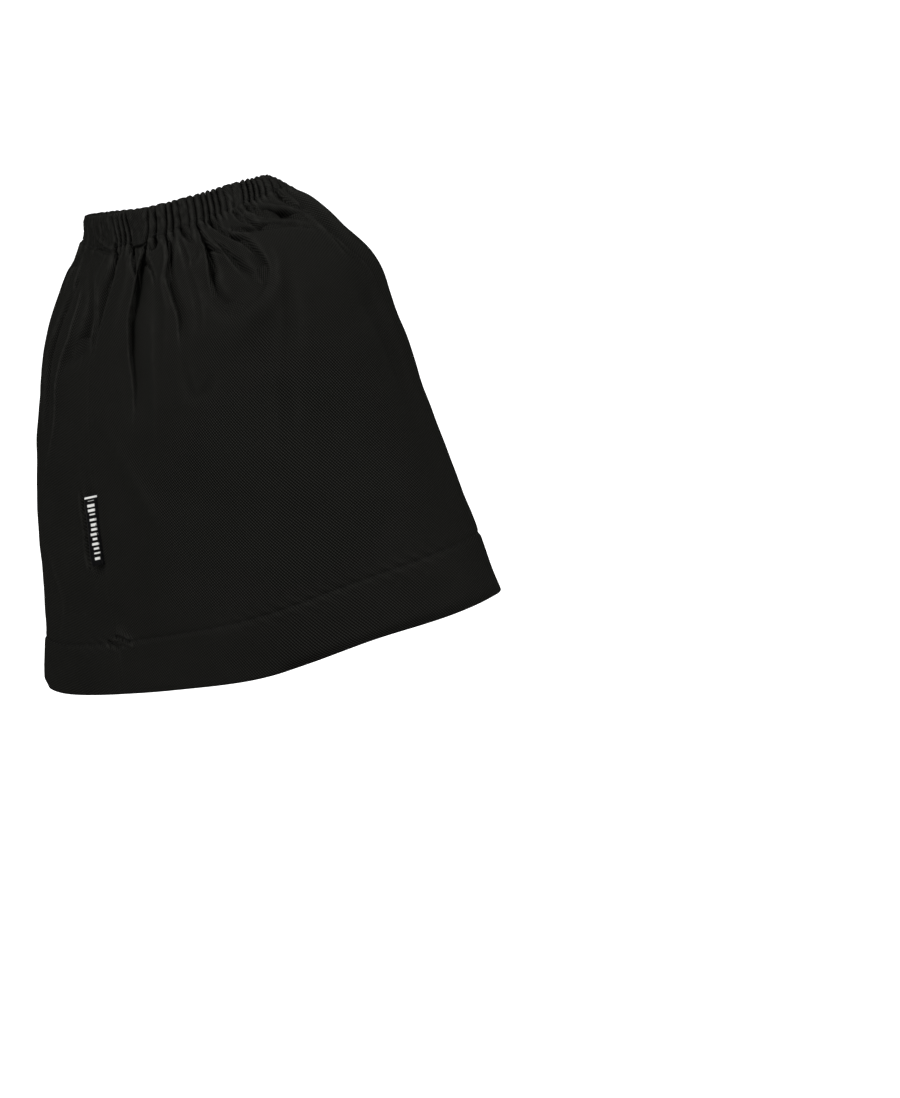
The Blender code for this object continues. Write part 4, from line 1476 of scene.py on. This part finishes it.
def patch_of_cloth(name: str, loop: list[Array]) -> tuple[Piece, Array]:
    """A closed strip whose rows each go once round its cross-section, with a cap at both ends.

    Args:
        name: The piece's name.
        loop: Rows of points, each a closed outline of the strip's thickness.

    Returns:
        The piece, and the row and column of each corner of each face along its length.
    """
    grid = np.stack(loop)
    rows, columns = grid.shape[:2]
    row, column = np.meshgrid(np.arange(rows - 1), np.arange(columns), indexing="ij")
    quads = [((row + r) * columns + (column + c) % columns).ravel() for r, c in QUAD_CORNERS]
    corners = [np.stack([row + r, column + c], axis=-1) for r, c in QUAD_CORNERS]
    quads, corners = np.stack(quads, axis=1), np.stack(corners, axis=2).reshape(-1, 2)
    for end, turn in ((0, -1), (rows - 1, 1)):
        for k in range(columns // 2 - 1):
            cap = np.array([k, k + 1, columns - 2 - k, columns - 1 - k])[::turn]
            quads = np.vstack([quads, end * columns + cap])
            corners = np.vstack([corners, np.stack([np.full(4, end), cap], axis=1)])
    return new_mesh_object(name, grid.reshape(-1, 3), quads), corners


@dataclass
class CoverPanel:
    """The body of the cover: one layer of cloth from the casing's stitching to the hem's fold."""

    form: ClothForm
    wall: float = 0.7 * MM
    fold_wall: float = 1.7 * MM          # both layers of the hem at its fold
    column_pitches: Pair = (0.00140, 0.00185)   # in turns, on the seen and the hidden sides
    least_columns: int = 5
    tuck: float = 0.03 * MM              # how far the top rolls in under the casing
    tuck_radius: float = 0.2 * MM
    seen_turns: float = 0.46             # the arounds up to which the closer columns run
    seam_steps: tuple[float, ...] = (-0.0013, -0.0006, 0.0006, 0.0013)     # columns beside the seam
    outer_runs: tuple[tuple[float, int], ...] = (         # down the outside: where a run starts, and its rows
        (PANEL_TOP, 5), (0.080, 29), (0.170, 26), (0.30, 17), (0.46, 20),
        (HEM_LINE - 0.022, 18), (HEM_LINE + 0.026, 4), (0.972, 6))
    outer_foot: float = 0.993
    fold_start: float = 0.988            # where the inside starts, above the fold
    fold_share: float = 0.9965           # where the hem's fold turns in
    fold_angles: tuple[int, ...] = (15, 40, 65, 90, 115, 140, 165)
    inner_hem: tuple[float, ...] = (0.985, 0.93, 0.88)
    inner_run: tuple[float, float, int] = (0.84, PANEL_TOP + 0.008, 16)
    inside_casing: tuple[float, ...] = (PANEL_TOP + 0.002, PANEL_TOP - 0.006)   # on up between its layers

    def columns(self) -> Array:
        """Places the columns: closer on narrow gathers, and closest at the seam.

        Returns:
            Their arounds.
        """
        valleys = self.form.gathers.feet
        places: list[float] = []
        for start, end in zip(valleys[:-1], valleys[1:]):
            pitch = self.column_pitches[0 if start < self.seen_turns else 1]
            count = max(self.least_columns, round((end - start) / pitch))
            places.extend(np.linspace(start, end, count, endpoint=False))
        places.extend(SEAM_AROUND + step for step in self.seam_steps)
        return np.sort(np.array(places))

    def outer_shares(self) -> Array:
        """The rows down the outside, closer near the casing and the hem's stitching."""
        ends = [start for start, _ in self.outer_runs[1:]] + [self.outer_foot]
        return np.concatenate([np.linspace(start, end, rows, endpoint=end == self.outer_foot)
                               for (start, rows), end in zip(self.outer_runs, ends)])

    def build(self, arounds: Array, drill: Material) -> Piece:
        """The panel's piece, which replaces its solid.

        Args:
            arounds: Its columns.
            drill: Its cloth.

        Returns:
            The piece.
        """
        rows = TubeRows(self.form, arounds)
        for share in self.outer_shares():
            edge = float(rounded_edge(np.array((share - PANEL_TOP) * CASING_LENGTH), self.tuck_radius))
            rows.add(share, edge * self.tuck / self.tuck_radius)
        radius = self.fold_wall / 2.0
        points, out = self.form.row(self.fold_share, arounds)
        downward = self.downward(arounds)
        for angle in np.radians(self.fold_angles):
            side, low = math.cos(angle), math.sin(angle)
            rows.put(points - out * (radius * (1.0 - side)) + downward * (radius * low),
                     out * side + downward * low)
        rows.add(self.fold_start, self.fold_wall, inside=True)
        for share in (*self.inner_hem, *np.linspace(*self.inner_run), *self.inside_casing):
            rows.add(share, self.wall, inside=True)
        return rows.weave("panel_cloth", drill)

    def downward(self, arounds: Array) -> Array:
        """The direction in which the cloth runs down to its hem edge."""
        step = self.form.row(1.0, arounds, folded=False)[0] - self.form.row(0.99, arounds, folded=False)[0]
        return step / np.linalg.norm(step, axis=1, keepdims=True)


@dataclass
class ElasticCasing:
    """The panel's top, folded over its elastic and stitched down, with every gather drawn up."""

    form: ClothForm
    wall: float = 1.7 * MM
    top_radius: float = 0.9 * MM
    foot_radius: float = 0.06 * MM
    crown: float = 0.16                  # how much of the gathers' relief the top edge shows upwards
    inner_relief: float = 0.45
    stitch_share: float = 0.0625
    pinch: float = 0.16 * MM
    pinch_share: float = 0.0050
    columns_per_gather: int = 10
    widest_column: float = 0.0022        # in turns
    closeness: float = 0.65              # how much closer the columns stand in the valleys
    crown_share: float = 0.016           # down to which the top edge is rounded
    crown_depth: float = 0.55            # the part of the gathers' relief that it takes off
    inner_pinch: float = 0.6
    outer_runs: tuple[tuple[float, float, int], ...] = ((0.0, 0.012, 7), (0.012, CASING_FOOT, 18))
    inner_run: tuple[float, float, int] = (CASING_FOOT - 0.003, 0.004, 12)

    def columns(self) -> Array:
        """Places the columns at the casing's foot, closest in the valleys.

        Returns:
            Their arounds.
        """
        feet = self.form.gathers.feet
        places: list[float] = []
        for start, end in zip(feet[:-1], feet[1:]):
            count = max(self.columns_per_gather, round((end - start) / self.widest_column))
            even = np.linspace(0.0, 1.0, count, endpoint=False)
            closer = (1.0 - np.cos(math.pi * even)) / 2.0
            places.extend(start + (end - start) * (self.closeness * closer + (1.0 - self.closeness) * even))
        return np.array(places)

    def row(self, share: float, columns: Array, inside: bool) -> tuple[Array, Array]:
        """One row of the casing.

        Args:
            share: Its place down the cloth.
            columns: The columns at the casing's foot, which lean with the gathers above it.
            inside: Whether it is a row of the inner layer, which shows less of the gathers.

        Returns:
            The points, and the directions in which they face.
        """
        gathers = self.form.gathers
        arounds = gathers.slid(share, columns)
        points, out = self.form.row(share, arounds, folded=not inside)
        _, length = self.form.plain.ring(share, arounds[:1])
        relief = gathers.crests(share, arounds, length)
        top = 1.0 - float(ease(np.array(share / self.crown_share)))
        if inside:
            depth = self.wall - self.drawn_in(share) * self.inner_pinch + relief * self.inner_relief
        else:
            depth = self.drawn_in(share) + self.crown_depth * relief * top
        points = points - out * depth[:, None]
        points[:, 2] += self.crown * relief * top
        return points, -out if inside else out

    def build(self, drill: Material) -> Piece:
        """The casing's piece, which replaces its solid.

        Args:
            drill: Its cloth.

        Returns:
            The piece.
        """
        columns = self.columns()
        rows = TubeRows(self.form, columns)
        edge, body = self.outer_runs
        outer = (*np.linspace(*edge, endpoint=False), *np.linspace(*body))
        for shares, inside in ((outer, False), (np.linspace(*self.inner_run), True)):
            for share in shares:
                rows.put(*self.row(float(share), columns, inside))
        return rows.weave("casing_cloth", drill)

    def drawn_in(self, share: float) -> float:
        """How far the outside is drawn in: round at the fold and the foot, and by the stitches.

        Args:
            share: The row's place down the cloth.

        Returns:
            The depth.
        """
        top = float(rounded_edge(np.array(share * CASING_LENGTH), self.top_radius))
        foot = float(rounded_edge(np.array((CASING_FOOT - share) * CASING_LENGTH), self.foot_radius))
        pulled = self.pinch * math.exp(-((share - self.stitch_share) / self.pinch_share) ** 2)
        return top + foot + pulled


@dataclass
class HemTurnUp:
    """The hem's inner layer with its tucked raw edge."""

    form: ClothForm
    panel: CoverPanel
    wall: float = 0.7 * MM
    tucked_wall: float = 1.3 * MM
    tuck_share: float = 0.035            # the tucked edge reaches this far below the stitching
    gap: float = 0.1 * MM                # between the panel and this layer
    foot: float = 0.984
    stitched: float = 0.004              # the layer is flat for this share to both sides of the stitching
    tuck_end: float = 0.012              # the share over which the tucked edge thins out
    end: float = 0.007                   # how far above the stitching its raw end is

    def build(self, arounds: Array, drill: Material) -> Piece:
        """The turned-up layer's piece, which replaces its solid.

        Args:
            arounds: Its columns.
            drill: Its cloth.

        Returns:
            The piece.
        """
        rows = TubeRows(self.form, arounds)
        start, tuck_foot = self.panel.wall + self.gap, HEM_LINE + self.tuck_share
        walls = [*((share, self.tucked_wall) for share in
                   (HEM_LINE - self.stitched, HEM_LINE + self.stitched, tuck_foot)),
                 (tuck_foot + self.tuck_end, self.wall), (self.foot, self.wall)]
        for share, _ in walls:
            rows.add(share, start)
        for share, wall in walls[::-1]:
            rows.add(share, start + wall, inside=True)
        rows.add(HEM_LINE - self.end, start + self.tucked_wall / 2.0, inside=True)
        return rows.weave("hem_turn_up_cloth", drill)


@dataclass
class SeamAllowance:
    """The two raw edges of the seam, pressed back inside the panel."""

    form: ClothForm
    panel: CoverPanel
    width: float = 8.0 * MM
    wall: float = 1.1 * MM
    top: float = 0.085
    foot: float = 0.872
    rows: int = 90
    steps: int = 7                       # across
    gap: float = 0.15 * MM               # between the panel and the strip

    def outline(self, share: float) -> tuple[Array, Array, Array]:
        """Where the panel's outside runs over the strip.

        Args:
            share: The row's place down the cloth.

        Returns:
            The places across the strip, their points and their directions.
        """
        _, length = self.form.plain.ring(share, np.array([0.0]))
        arounds = SEAM_AROUND + np.linspace(0.0, self.width / length, self.steps)
        points, out = self.form.row(share, arounds)
        return arounds, points, out

    def build(self, drill: Material) -> Piece:
        """The strip's piece, which replaces its solid.

        Args:
            drill: Its cloth.

        Returns:
            The piece.
        """
        loop = []
        shares = np.linspace(self.top, self.foot, self.rows)
        for share in shares:
            _, points, out = self.outline(float(share))
            near = points - out * (self.panel.wall + self.gap)
            far = near - out * self.wall
            loop.append(np.concatenate([near, far[::-1]]))
        piece, cells = patch_of_cloth("seam_allowance_cloth", loop)
        across = np.linspace(0.0, self.width, self.steps)
        across = np.concatenate([across, across[::-1], [0.0]])
        put_map(piece, "cloth", np.stack([across[cells[:, 1]],
                                          shares[cells[:, 0]] * self.form.share_length], axis=1))
        piece.data.materials.append(drill)
        return piece


@dataclass
class SeamLabel:
    """A woven tape folded double and caught in the seam, with its folded edge towards the back."""

    form: ClothForm
    top: float = 0.556
    foot: float = 0.704
    root_around: float = SEAM_AROUND - 0.0029
    width: float = 4.4 * MM
    slant: float = 0.0036                # turns by which the root draws nearer the front towards its foot
    layer: float = 0.32 * MM
    gap: float = 0.12 * MM
    lift: float = 0.8 * MM
    rise: float = 0.22                   # the part of the width over which it comes out of the seam
    rows: int = 40
    steps: int = 12                      # across
    root_lift: float = 0.25 * MM
    root_part: float = 0.12              # of the thickness, inside the seam
    curl_power: float = 1.5
    waving: float = 0.25                 # how unevenly the tape curls along its length
    fold_angles: tuple[int, ...] = (-45, 0, 45)
    fold_across: tuple[float, ...] = (1.05, 1.08, 1.05)      # the tape map round the folded edge

    def build(self, finish: TapeFinish, effects: SharedEffects) -> Piece:
        """The label's piece, which replaces its solid.

        Args:
            finish: The tape's finish.
            effects: The shared groups.

        Returns:
            The piece.
        """
        loop = []
        shares = np.linspace(self.top, self.foot, self.rows)
        down = np.zeros(self.rows)
        previous = None
        for index, share in enumerate(shares):
            _, length = self.form.plain.ring(float(share), np.array([0.0]))
            t = np.linspace(0.0, 1.0, self.steps)
            arounds = self.root_around + self.slant * index / self.rows + t * self.width / length
            points, out = self.form.row(float(share), arounds)
            wave = math.sin(3.0 * math.pi * index / self.rows + 0.6)
            curl = self.lift * t ** self.curl_power * (1.0 + self.waving * wave)
            risen = ease(t / self.rise)
            base = points + out * ((self.root_lift + curl) * risen)[:, None]
            thick = (self.layer * 2.0 + self.gap) * (self.root_part + (1.0 - self.root_part) * risen)
            outline = [base]
            side = points[-1] - points[-2]
            side /= np.linalg.norm(side)
            radius = thick[-1] / 2.0
            for angle in np.radians(self.fold_angles):
                outline.append((base[-1] + out[-1] * radius + side * math.cos(angle) * radius
                                + out[-1] * math.sin(angle) * radius)[None])
            outline.append((base + out * thick[:, None])[::-1])
            row = np.concatenate(outline)
            loop.append(row[::-1])
            centre = row.mean(axis=0)
            down[index] = 0.0 if previous is None else down[index - 1] + np.linalg.norm(centre - previous)
            previous = centre
        piece, cells = patch_of_cloth("label_tape_woven", loop)
        t = np.linspace(0.0, 1.0, self.steps)
        across = np.concatenate([t, self.fold_across, t[::-1]])[::-1]
        across = np.append(across, across[0])
        put_map(piece, "tape", np.stack([across[cells[:, 1]], down[cells[:, 0]]], axis=1))
        piece.data.materials.append(finish.build(effects, float(down[-1])))
        return piece


# ---- Stitches, by Geometry Nodes ----
class StitchMaker:
    """One Geometry Nodes tree that lays a thread stitch on every point of a run."""

    bead_segments = 8
    bead_rings = 6

    def __init__(self) -> None:
        """Builds the tree and keeps its input sockets by name."""
        self.tree = bpy.data.node_groups.new("thread_stitches", "GeometryNodeTree")
        face = self.tree.interface
        face.new_socket("Geometry", in_out="INPUT", socket_type="NodeSocketGeometry")
        for name, value in (("Stitch Length", 2.2 * MM), ("Thread Width", 0.5 * MM), ("Tilt", 0.1)):
            face.new_socket(name, in_out="INPUT", socket_type="NodeSocketFloat").default_value = value
        face.new_socket("Seed", in_out="INPUT", socket_type="NodeSocketInt").default_value = 7
        face.new_socket("Thread", in_out="INPUT", socket_type="NodeSocketMaterial")
        face.new_socket("Geometry", in_out="OUTPUT", socket_type="NodeSocketGeometry")
        self.sockets = {item.name: item.identifier for item in face.items_tree if item.in_out == "INPUT"}
        self.wire()

    def wire(self) -> None:
        """Adds the tree's nodes: a long bead for each point, turned along the run and out of the cloth."""
        tree = self.tree
        given, result = tree.nodes.new("NodeGroupInput"), tree.nodes.new("NodeGroupOutput")
        bead = fed(new_node(tree, "GeometryNodeMeshUVSphere"),
                   {"Segments": self.bead_segments, "Rings": self.bead_rings, "Radius": 1.0})
        axes = new_node(tree, "FunctionNodeAxesToRotation", primary_axis="Z", secondary_axis="X")
        for socket, name in zip(axes.inputs, ("run_out", "run_along")):
            attribute = new_node(tree, "GeometryNodeInputNamedAttribute", data_type="FLOAT_VECTOR")
            feed(socket, fed(attribute, {"Name": name}).outputs["Attribute"])
        chance = new_node(tree, "FunctionNodeRandomValue", data_type="FLOAT")
        low, high = [s for s in chance.inputs if s.name in ("Min", "Max") and s.type == "VALUE"][:2]
        feed(low, times(given.outputs["Tilt"], -1.0))
        feed(high, given.outputs["Tilt"])
        feed(chance.inputs["Seed"], given.outputs["Seed"])
        angle = next(s for s in chance.outputs if s.type == "VALUE")
        spin = fed(new_node(tree, "FunctionNodeAxisAngleToRotation"),
                   {"Axis": (0.0, 0.0, 1.0), "Angle": angle})
        turn = fed(new_node(tree, "FunctionNodeRotateRotation", rotation_space="LOCAL"),
                   {"Rotation": axes.outputs[0], "Rotate By": spin.outputs[0]})
        size = new_node(tree, "ShaderNodeCombineXYZ")
        for socket, name in zip(size.inputs, ("Stitch Length", "Thread Width", "Thread Width")):
            feed(socket, times(given.outputs[name], 0.5))
        last = fed(new_node(tree, "GeometryNodeInstanceOnPoints"), {
            "Points": given.outputs["Geometry"], "Instance": bead.outputs["Mesh"],
            "Rotation": turn.outputs[0], "Scale": size.outputs[0]})
        for kind in ("GeometryNodeRealizeInstances", "GeometryNodeSetShadeSmooth", "GeometryNodeSetMaterial"):
            last = fed(new_node(tree, kind), {0: last.outputs[0]})
        fed(last, {"Material": given.outputs["Thread"]})
        feed(result.inputs[0], last.outputs[0])

    def sew(self, name: str, run: "StitchRun", thread: Material) -> Piece:
        """The run's stitches as one plain mesh.

        Args:
            name: The piece's name.
            run: The run.
            thread: Its thread.

        Returns:
            The piece.
        """
        mesh = bpy.data.meshes.new(name + "_run")
        mesh.from_pydata(run.places.tolist(), [], [])
        for label, vectors in (("run_out", run.out), ("run_along", run.along)):
            attribute = mesh.attributes.new(label, "FLOAT_VECTOR", "POINT")
            attribute.data.foreach_set("vector", vectors.astype(np.float32).ravel())
        source = bpy.data.objects.new(name + "_run", mesh)
        bpy.context.scene.collection.objects.link(source)
        modifier = source.modifiers.new("stitches", "NODES")
        modifier.node_group = self.tree
        for label, value in (("Stitch Length", run.stitch_length), ("Thread Width", run.thread_width),
                             ("Tilt", run.tilt), ("Seed", run.seed), ("Thread", thread)):
            modifier[self.sockets[label]] = value
        depsgraph = bpy.context.evaluated_depsgraph_get()
        done = bpy.data.meshes.new_from_object(source.evaluated_get(depsgraph), depsgraph=depsgraph)
        bpy.data.objects.remove(source)
        piece = bpy.data.objects.new(name, done)
        bpy.context.scene.collection.objects.link(piece)
        return piece


@dataclass
class StitchRun:
    """Where the stitches of one line of sewing lie, and how large they are."""

    places: Array
    along: Array
    out: Array
    stitch_length: float
    thread_width: float
    tilt: float
    seed: int


@dataclass
class Sewing:
    """Every line of sewing on the cover."""

    form: ClothForm
    casing: ElasticCasing
    panel: CoverPanel
    allowance: SeamAllowance
    tilt: float = 0.16                   # how far a stitch turns at random, in radians
    hem_pitch: float = 3.0 * MM
    hem_sunk: float = 0.16 * MM
    hem_inside_depth: float = 1.36 * MM       # under the panel's wall
    hem_stitch: Pair = (2.3 * MM, 0.50 * MM)       # length and thread width
    casing_pitch: float = 1.5 * MM
    casing_sunk: float = 0.05 * MM
    casing_stitch: Pair = (1.25 * MM, 0.46 * MM)
    overlock_count: int = 150
    overlock_stitch: Pair = (3.6 * MM, 0.34 * MM)
    overlock_slant: float = 0.35
    overlock_tilt: float = 0.10
    overlock_ends: float = 0.004         # in shares, bare of threads
    label_ends: Pair = (0.562, 0.698)
    label_count: int = 10
    label_rise: float = 0.9 * MM
    label_stitch: Pair = (1.9 * MM, 0.40 * MM)
    label_tilt: float = 0.08

    def round_run(self, share: float, pitch: float, sunk: float, stitch: Pair,
                  seed: int) -> StitchRun:
        """A run once round the cover.

        Args:
            share: The run's place down the cloth.
            pitch: The distance from stitch to stitch.
            sunk: How far the stitches' middles lie under the cloth's surface.
            stitch: A stitch's length and the thread's width.
            seed: The seed of the stitches' small turns.

        Returns:
            The run.
        """
        _, around_length = self.form.plain.ring(share, np.array([0.0]))
        count = round(around_length / pitch)
        arounds = (np.arange(count) + 0.5) / count
        points, out = self.form.row(share, arounds)
        step = 0.25 / count
        along = self.form.row(share, arounds + step)[0] - self.form.row(share, arounds - step)[0]
        along /= np.linalg.norm(along, axis=1, keepdims=True)
        return StitchRun(points - out * sunk, along, out, *stitch, self.tilt, seed)

    def casing_run(self) -> StitchRun:
        """The stitching that closes the casing over its elastic."""
        sunk = self.casing.drawn_in(self.casing.stitch_share) + self.casing_sunk
        return self.round_run(self.casing.stitch_share, self.casing_pitch, sunk, self.casing_stitch, 11)

    def hem_run(self) -> StitchRun:
        """The single row that holds the hem up."""
        return self.round_run(HEM_LINE, self.hem_pitch, self.hem_sunk, self.hem_stitch, 23)

    def hem_inside_run(self) -> StitchRun:
        """The same row where its lower thread shows inside."""
        sunk = self.panel.wall + self.hem_inside_depth
        return self.round_run(HEM_LINE, self.hem_pitch, sunk, self.hem_stitch, 29)

    def overlock_run(self) -> StitchRun:
        """The overlock's threads across the raw edges of the seam allowance.

        Returns:
            The run.
        """
        lines: list[tuple[Array, Array, Array]] = []
        top, foot = self.allowance.top + self.overlock_ends, self.allowance.foot - self.overlock_ends
        for share in np.linspace(top, foot, self.overlock_count):
            _, points, normals = self.allowance.outline(float(share))
            side = points[-1] - points[-3]
            side /= np.linalg.norm(side)
            deep = self.panel.wall + self.allowance.gap + self.allowance.wall
            lines.append((points[-2] - normals[-2] * deep, side + (0.0, 0.0, self.overlock_slant),
                          -normals[-2]))
        places, along, out = (np.array(rows) for rows in zip(*lines))
        return StitchRun(places, along, out, *self.overlock_stitch, self.overlock_tilt, 31)

    def label_run(self) -> StitchRun:
        """The seam's stitches that hold the label's root.

        Returns:
            The run.
        """
        rows = [self.form.row(float(share), np.array([SEAM_AROUND + 0.001]))
                for share in np.linspace(*self.label_ends, self.label_count)]
        points = np.concatenate([points for points, _ in rows])
        out = np.concatenate([normals for _, normals in rows])
        along = np.gradient(points, axis=0)
        along /= np.linalg.norm(along, axis=1, keepdims=True)
        return StitchRun(points + out * self.label_rise, along, out, *self.label_stitch, self.label_tilt, 41)


# ---- Studio ----
@dataclass(frozen=True)
class SoftBox:
    """A square lamp that looks at the cover: its place and size in metres, and its power in watts."""

    name: str
    place: Triple
    size: float
    power: float


SOFT_BOXES = (
    SoftBox("left", (-1.05, -1.45, 1.20), 0.9, 46.0), SoftBox("high", (1.25, -0.45, 2.00), 1.2, 40.0),
    SoftBox("right", (1.95, -0.60, 1.15), 1.4, 22.0), SoftBox("back", (-0.6, 1.3, 1.6), 1.3, 8.0),
)


@dataclass
class Studio:
    """A pale floor, soft lights and the camera."""

    azimuth: float = 25.0
    elevation: float = 15.0
    distance: float = 1.400
    lens: float = 130.0
    sensor: float = 36.0                 # in mm, as the lens is
    aim: Triple = (0.106, 0.0, -0.114)
    floor_drop: float = 0.230            # the ground lies this far under the elastic's ring
    floor_size: float = 12.0
    floor_shades: Pair = (0.36, 0.40)
    lit_place: Triple = (0.03, 0.0, -0.09)     # where the soft boxes look
    seen: float = 1.0                    # brightness of the white ground and the white room
    floor_glow: float = 0.30             # what they shed on the cover
    room_glow: float = 0.33

    def build(self) -> None:
        """Adds the floor, the light of the room, the lamps and the camera."""
        self.add_floor()
        self.add_room()
        for box in SOFT_BOXES:
            self.add_lamp(box)
        self.add_camera()

    def add_floor(self) -> None:
        """The plain pale floor."""
        half = self.floor_size / 2.0
        corners = [(x * half, y * half, -self.floor_drop) for x, y in ((-1, -1), (1, -1), (1, 1), (-1, 1))]
        floor = new_mesh_object("floor", np.array(corners), np.array([[0, 1, 2, 3]]))
        material, tree, shader = blank_material("pale_floor")
        grain = noise(new_node(tree, "ShaderNodeTexCoord").outputs["Object"], 3.0)
        shades = [(shade, shade, shade, 1.0) for shade in self.floor_shades]
        fed(shader, {"Base Color": mix_colours(grain, *shades), "Roughness": 1.0, "Specular IOR Level": 0.0,
                     "Emission Color": (1.0, 1.0, 1.0, 1.0),
                     "Emission Strength": seen_and_shed(tree, self.seen, self.floor_glow)})
        floor.data.materials.append(material)

    def add_room(self) -> None:
        """The even white light of the room."""
        world = bpy.data.worlds.new("room")
        bpy.context.scene.world = world
        world.use_nodes = True
        tree = world.node_tree
        fed(tree.nodes["Background"], {"Color": (1.0, 1.0, 1.0, 1.0),
                                       "Strength": seen_and_shed(tree, self.seen, self.room_glow)})
        bpy.context.scene.view_settings.view_transform = "Standard"

    def add_lamp(self, box: SoftBox) -> None:
        """Adds a soft box.

        Args:
            box: The soft box.
        """
        light = bpy.data.lights.new(box.name, "AREA")
        light.shape = "SQUARE"
        light.size = box.size
        light.energy = box.power
        lamp = bpy.data.objects.new(box.name, light)
        lamp.location = box.place
        gaze = Vector(self.lit_place) - Vector(box.place)
        lamp.rotation_euler = gaze.to_track_quat("-Z", "Y").to_euler()
        bpy.context.scene.collection.objects.link(lamp)

    def add_camera(self) -> None:
        """The camera, far off with a long lens."""
        turn, rise = math.radians(self.azimuth), math.radians(self.elevation)
        back = Vector((math.sin(turn) * math.cos(rise), -math.cos(turn) * math.cos(rise), math.sin(rise)))
        camera = bpy.data.objects.new("camera", bpy.data.cameras.new("camera"))
        camera.data.lens = self.lens
        camera.data.sensor_width = self.sensor
        camera.location = Vector(self.aim) + back * self.distance
        camera.rotation_euler = (-back).to_track_quat("-Z", "Y").to_euler()
        bpy.context.scene.collection.objects.link(camera)
        bpy.context.scene.camera = camera


def finish_piece(piece: Piece, slot: str, *nodes: str) -> None:
    """Lets a piece ride, hides the solids that it stands for, and reports it, naming them.

    Args:
        piece: The piece.
        slot: Its slot; not used.
        nodes: The solids.
    """
    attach(piece, BODY)
    if nodes:
        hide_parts(*nodes)
    log.info("%s: %d points, for %s", piece.name, len(piece.data.vertices), ", ".join(nodes) or "sewing")


def main() -> None:
    """Builds the cover's pieces in order, from the inside of the form to its sewing."""
    logging.basicConfig(level=logging.INFO, format="%(message)s")
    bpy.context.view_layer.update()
    form = ClothForm()
    effects = SharedEffects()
    drill = DrillFinish("drill_right_side").build(effects)
    # The casing's cloth is a darker copy of the drill: painted shade on the casing
    casing_drill_painted_shade = DrillFinish("drill_over_elastic_painted_shade", lit=(0.0155, 0.0155, 0.0143)).build(effects)
    wrong_side = DrillFinish("drill_wrong_side", ClothFace.WRONG, lit=(0.0145, 0.0145, 0.0137)).build(effects)
    thread = ThreadFinish().build(effects)
    panel = CoverPanel(form)
    casing = ElasticCasing(form)
    allowance = SeamAllowance(form, panel)
    arounds = panel.columns()
    panel_piece = panel.build(arounds, drill)
    finish_piece(panel_piece, "drill_cloth", "body_panel")
    casing_piece = casing.build(casing_drill_painted_shade)
    finish_piece(casing_piece, "casing_cloth", "top_casing")
    hem_piece = HemTurnUp(form, panel).build(arounds, wrong_side)
    finish_piece(hem_piece, "hem_cloth", "hem_turn_up")
    allowance_piece = allowance.build(wrong_side)
    finish_piece(allowance_piece, "seam_cloth", "seam_allowance")
    label_piece = SeamLabel(form).build(TapeFinish(), effects)
    finish_piece(label_piece, "label_tape", "seam_label")
    sewing = Sewing(form, casing, panel, allowance)
    maker = StitchMaker()
    runs = {"casing_stitches": sewing.casing_run(), "hem_stitches": sewing.hem_run(),
            "hem_inside_stitches": sewing.hem_inside_run(), "overlock_threads": sewing.overlock_run(),
            "label_stitches": sewing.label_run()}
    stitches = {name: maker.sew(name, run, thread) for name, run in runs.items()}
    for piece in stitches.values():
        finish_piece(piece, "drill_cloth")
    Studio().build()


if __name__ == "__main__":
    main()
